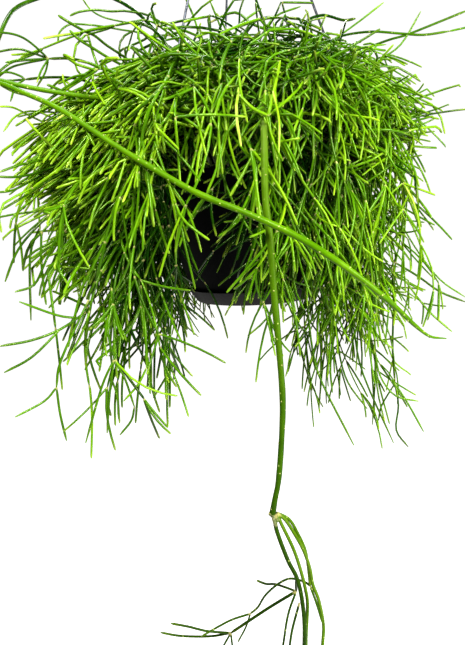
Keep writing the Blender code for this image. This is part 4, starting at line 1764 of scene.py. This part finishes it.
@dataclass(frozen=True)
class Pot:
    """The tapered plastic pot with a level flange, holes for the wires and for drainage."""

    rim: float = 105 * MM
    wall: float = 1.7 * MM
    flange: float = 114 * MM
    flange_thickness: float = 2 * MM
    shoulder: float = 62.3 * MM
    shoulder_depth: float = 129 * MM
    foot: float = 56 * MM
    foot_neck: float = 4.5 * MM
    foot_bead: float = 1.4 * MM
    bead_heights: Point = (0.9 * MM, 1.7 * MM, 2.3 * MM)
    floor: float = 2 * MM
    wire_hole: float = 2.25 * MM
    wire_ring: float = 109 * MM
    drain_hole: float = 4 * MM
    drain_ring: float = 34 * MM
    drain_azimuths = (0, 90, 180, 270)
    drill_length: float = 9 * MM
    bend: float = 0.7 * MM

    def build(self, skin: bpy.types.Material) -> None:
        """Mould the pot, cut its holes and tie it to the frame.

        Args:
            skin: The plastic.
        """
        deep = RIM_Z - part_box("pot")[0].z
        bead_low, bead_high, bead_end = self.bead_heights
        corners = (
            (0, -deep + self.floor),
            (self.foot - self.wall, -deep + self.floor),
            (self.foot - self.wall, -deep + self.foot_neck),
            (self.shoulder - self.wall, -self.shoulder_depth),
            (self.rim - self.wall, 0),
            (self.flange, 0),
            (self.flange, -self.flange_thickness),
            (self.rim - self.flange_thickness / 3, -self.flange_thickness),
            (self.shoulder, -self.shoulder_depth),
            (self.foot, -deep + self.foot_neck),
            (self.foot, -deep + bead_end),
            (self.foot + self.foot_bead, -deep + bead_high),
            (self.foot + self.foot_bead, -deep + bead_low),
            (self.foot, -deep),
            (0, -deep),
        )
        pot = lathe("moulded_pot", corners, self.bend)
        for azimuth in Hanger.azimuths:
            place = outward(azimuth) * self.wire_ring + Vector((0, 0, RIM_Z))
            self.bore(pot, place, self.wire_hole)
        for azimuth in self.drain_azimuths:
            place = outward(azimuth) * self.drain_ring + Vector((0, 0, RIM_Z - deep))
            self.bore(pot, place, self.drain_hole)
        dress(pot, skin)
        settle(pot, ["pot"])

    def bore(self, pot: bpy.types.Object, place: Vector, radius: float) -> None:
        """Cut one upright round hole through the pot.

        Args:
            pot: The pot.
            place: Middle of the drill.
            radius: Radius of the hole.
        """
        shape = bmesh.new()
        bmesh.ops.create_cone(
            shape, cap_ends=True, segments=28, radius1=radius, radius2=radius,
            depth=self.drill_length, matrix=Matrix.Translation(place),
        )
        drill = shape_object("drill", shape)
        cut = pot.modifiers.new("hole", "BOOLEAN")
        cut.solver = "EXACT"
        cut.operation = "DIFFERENCE"
        cut.object = drill
        old = pot.data
        pot.data = evaluated_mesh(pot)
        pot.modifiers.clear()
        bpy.data.meshes.remove(old)
        bpy.data.objects.remove(drill, do_unlink=True)


@dataclass(frozen=True)
class Saucer:
    """The drip saucer, clipped on under the pot's foot."""

    radius: float = 66.8 * MM
    lip_depth: float = 127 * MM
    base: float = 57.5 * MM
    floor: float = 1.6 * MM
    wall: float = 1.7 * MM
    bead_wall: float = 57.8 * MM
    fillet: float = 1 * MM
    snap_radius: float = 56.35 * MM
    shelf_radius: float = 60.3 * MM
    snap_depths: Band = (134 * MM, 135.5 * MM)
    bend: float = 0.8 * MM

    def build(self, skin: bpy.types.Material) -> None:
        """Mould the saucer and tie it to the frame.

        Args:
            skin: The plastic.
        """
        deep = RIM_Z - POT_FOOT_Z
        top, bottom = self.snap_depths
        corners = (
            (0, -deep + self.floor),
            (self.bead_wall - self.fillet, -deep + self.floor),
            (self.bead_wall, -deep + self.floor + self.fillet),
            (self.bead_wall, -bottom),
            (self.snap_radius, -bottom),
            (self.snap_radius, -top),
            (self.shelf_radius, -top),
            (self.radius - self.wall, -self.lip_depth),
            (self.radius, -self.lip_depth),
            (self.base, -deep),
            (0, -deep),
        )
        saucer = lathe("moulded_saucer", corners, self.bend)
        dress(saucer, skin)
        settle(saucer, ["drip_saucer"])


@dataclass(frozen=True)
class Soil:
    """The root ball, with a crumbly top and loose grains of peat and perlite."""

    radius: float = 100.5 * MM
    foot: float = 53.8 * MM
    edge_depth: float = 4 * MM
    relief: float = 1.6 * MM
    coarse: float = 90
    fine: float = 260
    rings: int = 34
    steps: int = 96
    grains: float = 52000.0
    grain_sizes: Band = (0.45 * MM, 1.5 * MM)
    least_upward: float = 0.6
    most_turn: Point = (6.3, 6.3, 6.3)

    def build(self, skin: bpy.types.Material) -> None:
        """Make the root ball and its grains and tie both to the frame.

        Args:
            skin: The soil.
        """
        low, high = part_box("soil")
        edge = min(self.radius, high.x)
        top = high.z - self.relief
        shape = bmesh.new()
        crown = shape.verts.new((0, 0, top))
        loops = []
        for ring in range(1, self.rings + 1):
            radius = edge * ring / self.rings
            loops.append([self.crumb(shape, radius, step, top) for step in range(self.steps)])
        for radius, height in ((edge, top - self.edge_depth), (self.foot, low.z)):
            places = [self.round_place(radius, step, height) for step in range(self.steps)]
            loops.append([shape.verts.new(place) for place in places])
        base = shape.verts.new((0, 0, low.z))
        for step in range(self.steps):
            after = (step + 1) % self.steps
            shape.faces.new((crown, loops[0][step], loops[0][after]))
            for inner, outer in zip(loops, loops[1:]):
                shape.faces.new((inner[step], outer[step], outer[after], inner[after]))
            shape.faces.new((loops[-1][step], base, loops[-1][after]))
        bmesh.ops.recalc_face_normals(shape, faces=shape.faces)
        ball = shape_object("root_ball", shape)
        dress(ball, skin)
        settle(ball, ["soil"])
        settle(self.scatter(ball.data, skin), ["soil"])

    def round_place(self, radius: float, step: int, height: float) -> Point:
        """Return one of the evenly spaced places on a level circle."""
        angle = 2 * math.pi * step / self.steps
        return radius * math.cos(angle), radius * math.sin(angle), height

    def crumb(
        self, shape: bmesh.types.BMesh, radius: float, step: int, top: float
    ) -> bmesh.types.BMVert:
        """Add one point of the crumbly top.

        Args:
            shape: The root ball's edit mesh.
            radius: Radius of the circle that it lies on.
            step: Its number on that circle.
            top: Mean height of the top.

        Returns:
            The new point.
        """
        x, y, _ = self.round_place(radius, step, top)
        rough = noise.noise(Vector((x, y, 0)) * self.coarse)
        rough += 0.5 * noise.noise(Vector((x, y, 3)) * self.fine)
        return shape.verts.new((x, y, top + self.relief * 0.6 * rough))

    def scatter(self, ground: bpy.types.Mesh, skin: bpy.types.Material) -> bpy.types.Object:
        """Strew grains over the top of the root ball.

        Args:
            ground: The root ball, whose upward faces carry the grains.
            skin: The soil.

        Returns:
            The grains as one plain mesh object.
        """
        inputs = {
            "Ground": "Geometry", "Density": "Float", "Smallest": "Float", "Largest": "Float",
            "Skin": "Material",
        }
        tree = NodeTree("Loose grains", inputs, "Grains")
        normal = tree.node("GeometryNodeInputNormal")
        split = tree.node("ShaderNodeSeparateXYZ", {"Vector": normal.outputs["Normal"]})
        upward = tree.node("FunctionNodeCompare", {0: split.outputs["Z"], 1: self.least_upward})
        strew = tree.node("GeometryNodeDistributePointsOnFaces", {
            "Mesh": tree.entry["Ground"],
            "Selection": upward.outputs["Result"],
            "Density": tree.entry["Density"],
            "Seed": 11,
        })
        grain = tree.node("GeometryNodeMeshIcoSphere", {"Radius": 1.0, "Subdivisions": 1})
        sizes = {2: tree.entry["Smallest"], 3: tree.entry["Largest"], "Seed": 12}
        size = tree.node("FunctionNodeRandomValue", sizes)
        turns = {"Max": self.most_turn, "Seed": 13}
        turn = tree.node("FunctionNodeRandomValue", turns, data_type="FLOAT_VECTOR")
        kind = tree.node("FunctionNodeRandomValue", {"Seed": 14})
        put = tree.node("GeometryNodeInstanceOnPoints", {
            "Points": strew.outputs["Points"],
            "Instance": grain.outputs["Mesh"],
            "Rotation": turn.outputs["Value"],
            "Scale": size.outputs[1],
        })
        marks = {"Geometry": put.outputs["Instances"], "Name": "grit", "Value": kind.outputs[1]}
        mark = tree.node("GeometryNodeStoreNamedAttribute", marks, domain="INSTANCE")
        tree.finish(mark.outputs["Geometry"])
        smallest, largest = self.grain_sizes
        values = {"Density": self.grains, "Smallest": smallest, "Largest": largest, "Skin": skin}
        return tree.run("loose_grains", new_object("grain_guide", ground.copy()), values)


@dataclass(frozen=True)
class Hanger:
    """Three straight wires from the flange to the eye of an open hook.

    Turns and eye angles are in degrees. Each place of the shank is how far aside it is and how
    high above the eye.
    """

    azimuths = (105, 225, 345)
    nodes: tuple[str, ...] = ("wire_back", "wire_left", "wire_right")
    eye_angles: Point = (0, -40, 40)
    wire: float = 1.1 * MM
    hook_wire: float = 1.5 * MM
    gap: float = 0.3 * MM
    loop: float = 3.1 * MM
    loop_turn: float = 298
    loop_tail: float = 6
    turn: float = 3.4 * MM
    turn_rise: float = 5 * MM
    end_rise: float = 4 * MM
    hole_edge: float = 111.25 * MM
    flange_edge: float = 113.57 * MM
    flange_thickness: float = 2 * MM
    flange_play: float = 0.1 * MM
    crook: float = 14 * MM
    crook_start: float = 205
    crook_turn: float = 260
    shank: tuple[Band, ...] = (
        (3.2 * MM, 13 * MM), (0.6 * MM, 9 * MM), (0, 3.5 * MM),
    )
    eye: float = 8.4 * MM
    eye_start: float = 74
    eye_turn: float = 329

    def build(self, tubes: StemTubes, skin: bpy.types.Material) -> None:
        """Bend the wires and the hook and tie them to the frame.

        Args:
            tubes: The tree that turns lines into tubes.
            skin: The steel.
        """
        for node, azimuth, angle in zip(self.nodes, self.azimuths, self.eye_angles):
            line = self.wire_line(azimuth, angle)
            piece = tubes.build("bent_" + node, [self.rod(line, self.wire)], skin, sides=12)
            settle(piece, [node])
        hook = self.rod(self.hook_line(), self.hook_wire)
        piece = tubes.build("bent_hook", [hook], skin, sides=14)
        settle(piece, ["top_hook"])

    def rod(self, line: Sequence[Vector], radius: float) -> StemJoint:
        """Draw out a wire of even thickness with slightly narrowed ends.

        Args:
            line: Its line.
            radius: Its radius.

        Returns:
            The wire, as one link.
        """
        start = line[0] + (line[0] - line[1]).normalized() * 0.2 * MM
        end = line[-1] + (line[-1] - line[-2]).normalized() * 0.2 * MM
        points = [start, *line, end]
        radii = [0.75 * radius, *[radius] * len(line), 0.75 * radius]
        return StemJoint(points, radii, [0.5] * len(points), 0.5)

    def eye_centre(self) -> Vector:
        """Return the middle of the hook's eye."""
        return Vector((0, 0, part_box("top_hook")[0].z + self.hook_wire + self.eye))

    def wire_line(self, azimuth: float, angle: float) -> list[Vector]:
        """Lay the line of one wire, from its loop on the eye to its end under the flange.

        Args:
            azimuth: Where the wire meets the flange, in degrees.
            angle: Where its loop sits on the eye, in degrees from straight down.

        Returns:
            The places that the wire passes.
        """
        turned = math.radians(angle)
        away = Vector((math.sin(turned), 0, -math.cos(turned)))
        play = self.loop - self.wire - self.hook_wire - self.gap
        centre = self.eye_centre() + away * (self.eye + play)
        side = Vector((0, math.copysign(1, math.sin(math.radians(azimuth))), 0))
        line = []
        for share in even_shares(29):
            bend = math.radians(-self.loop_turn * (1 - share))
            line.append(centre + (side * math.cos(bend) + away * math.sin(bend)) * self.loop)
        line.append(line[-1] + away * self.loop_tail * MM)
        radial = outward(azimuth)
        web = self.flange_edge - self.hole_edge
        inside = self.turn - self.wire - self.gap
        lift = math.sqrt(inside**2 - (web / 2) ** 2) - self.flange_thickness - self.flange_play
        turn_centre = radial * (self.hole_edge + web / 2) + Vector((0, 0, RIM_Z + lift))
        line.append(turn_centre - radial * self.turn + Vector((0, 0, self.turn_rise)))
        for share in even_shares(17):
            bend = math.pi * share
            down = Vector((0, 0, self.turn * math.sin(bend)))
            line.append(turn_centre - radial * (self.turn * math.cos(bend)) - down)
        line.append(line[-1] + Vector((0, 0, self.end_rise)))
        return line

    def hook_line(self) -> list[Vector]:
        """Lay the line of the hook: an open crook, a short shank and a closed eye.

        Returns:
            The places that the wire passes.
        """
        wide = self.crook + self.hook_wire
        line = []
        for share in even_shares(37):
            bend = math.radians(self.crook_start - self.crook_turn * share)
            line.append(Vector((wide * math.cos(bend), 0, wide * math.sin(bend) - self.crook)))
        centre = self.eye_centre()
        top = centre.z + self.eye
        line += [Vector((aside, 0, top + height)) for aside, height in self.shank]
        for share in even_shares(41):
            bend = math.radians(self.eye_start - self.eye_turn * share)
            line.append(centre + Vector((math.cos(bend), 0, math.sin(bend))) * self.eye)
        return line


@dataclass(frozen=True)
class Lamp:
    """One square soft light: its place in the frame, its width and its power in watts."""

    name: str
    place: Point
    size: float
    power: float

    def hang(self, target: Point) -> None:
        """Put the lamp in the scene.

        Args:
            target: The place that it is turned to.
        """
        lamp = bpy.data.lights.new(self.name, "AREA")
        lamp.size = self.size
        lamp.energy = self.power
        light = new_object(self.name, lamp)
        light.location = self.place
        aim = Vector(target) - Vector(self.place)
        light.rotation_euler = aim.to_track_quat("-Z", "Y").to_euler()


@dataclass(frozen=True)
class Studio:
    """The pale floor, the soft lights and the camera.

    Angles are in degrees, and places and heights are the frame's own.
    """

    floor_z: float = -1.75
    floor_radius: float = 60.0
    floor_glow: float = 0.97
    floor_stops: tuple[tuple[float, Colour], ...] = (
        (0.3, (0.80, 0.78, 0.755)), (0.7, (0.84, 0.825, 0.80)),
    )
    room_white: float = 1.05
    room_light: float = 0.15
    room_sheen: float = 0.0
    lamps: tuple[Lamp, ...] = (
        Lamp("key", (-0.45, -1.20, 0.75), 0.35, 76.0),
        Lamp("window", (1.15, -0.95, -0.30), 0.6, 62.0),
        Lamp("top", (-0.5, 0.2, 1.2), 0.5, 18.0),
        Lamp("back", (0.2, 1.3, 0.3), 0.8, 16.0),
    )
    middle: Point = (0, 0, -0.42)
    pitch: float = 10.2
    roll: float = 3.0
    sensor: float = 36
    focal_share: float = 40 / 43
    nearest: float = 0.02

    def build(self) -> None:
        """Set up the whole studio."""
        self.build_floor()
        self.build_room()
        for lamp in self.lamps:
            lamp.hang(self.middle)
        self.build_camera()

    def build_floor(self) -> None:
        """Lay a plain pale floor far below the plant."""
        shape = bmesh.new()
        bmesh.ops.create_circle(shape, cap_ends=True, segments=96, radius=self.floor_radius)
        floor = shape_object("floor", shape)
        floor.data.transform(Matrix.Translation((0, 0, self.floor_z)))
        shader = Shader("pale floor")
        shader.drive("Base Color", shader.ramp(shader.noise(1.2), self.floor_stops))
        shader.set("Roughness", 0.8)
        shader.set("Emission Color", WARM_WHITE)
        seen = shader.node("ShaderNodeLightPath").outputs["Is Camera Ray"]
        shader.drive("Emission Strength", shader.times(seen, self.floor_glow))
        floor.data.materials.append(shader.material)

    def build_room(self) -> None:
        """Surround the plant with a white room, which gives only a little light."""
        world = bpy.data.worlds.new("studio")
        bpy.context.scene.world = world
        world.use_nodes = True
        tree = world.node_tree
        sky = tree.nodes["Background"]
        sky.inputs["Color"].default_value = WARM_WHITE
        seen = tree.nodes.new("ShaderNodeLightPath")
        dim = tree.nodes.new("ShaderNodeMapRange")
        dim.inputs["To Min"].default_value = self.room_light
        dim.inputs["To Max"].default_value = self.room_sheen
        level = tree.nodes.new("ShaderNodeMapRange")
        level.inputs["To Max"].default_value = self.room_white
        tree.links.new(seen.outputs["Is Glossy Ray"], dim.inputs["Value"])
        tree.links.new(dim.outputs["Result"], level.inputs["To Min"])
        tree.links.new(seen.outputs["Is Camera Ray"], level.inputs["Value"])
        tree.links.new(level.outputs["Result"], sky.inputs["Strength"])

    def build_camera(self) -> None:
        """Place the camera in front of the plant, tilted a little down."""
        pitch = math.radians(self.pitch)
        roll = math.radians(self.roll)
        level = Vector((1, 0, 0))
        rise = Vector((0, math.sin(pitch), math.cos(pitch)))
        right = level * math.cos(roll) - rise * math.sin(roll)
        above = level * math.sin(roll) + rise * math.cos(roll)
        back = right.cross(above)
        turn = Matrix((right, above, back)).transposed().to_4x4()
        lens = bpy.data.cameras.new("camera")
        lens.sensor_fit = "VERTICAL"
        lens.sensor_height = self.sensor
        lens.lens = self.sensor * self.focal_share
        lens.clip_start = self.nearest
        camera = new_object("camera", lens)
        camera.matrix_world = Matrix.Translation(CAMERA_PLACE) @ turn
        bpy.context.scene.camera = camera


def write_sizes() -> None:
    """Bring the view layer up to date."""
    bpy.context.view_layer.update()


def main() -> None:
    """Build the plant, the pot and the studio."""
    logging.basicConfig(level=logging.INFO, format="%(name)s: %(message)s")
    bpy.context.scene.view_settings.view_transform = "Standard"
    Studio().build()
    plant = Plant()
    plant.build()
    Pot().build(PlasticFinish("black pot plastic").material())
    Saucer().build(PlasticFinish("black saucer plastic", roughness=0.38, gloss=0.14).material())
    Soil().build(SoilFinish("potting soil").material())
    Hanger().build(plant.tubes, SteelFinish("hanger wire steel").material())
    write_sizes()


if __name__ == "__main__":
    main()
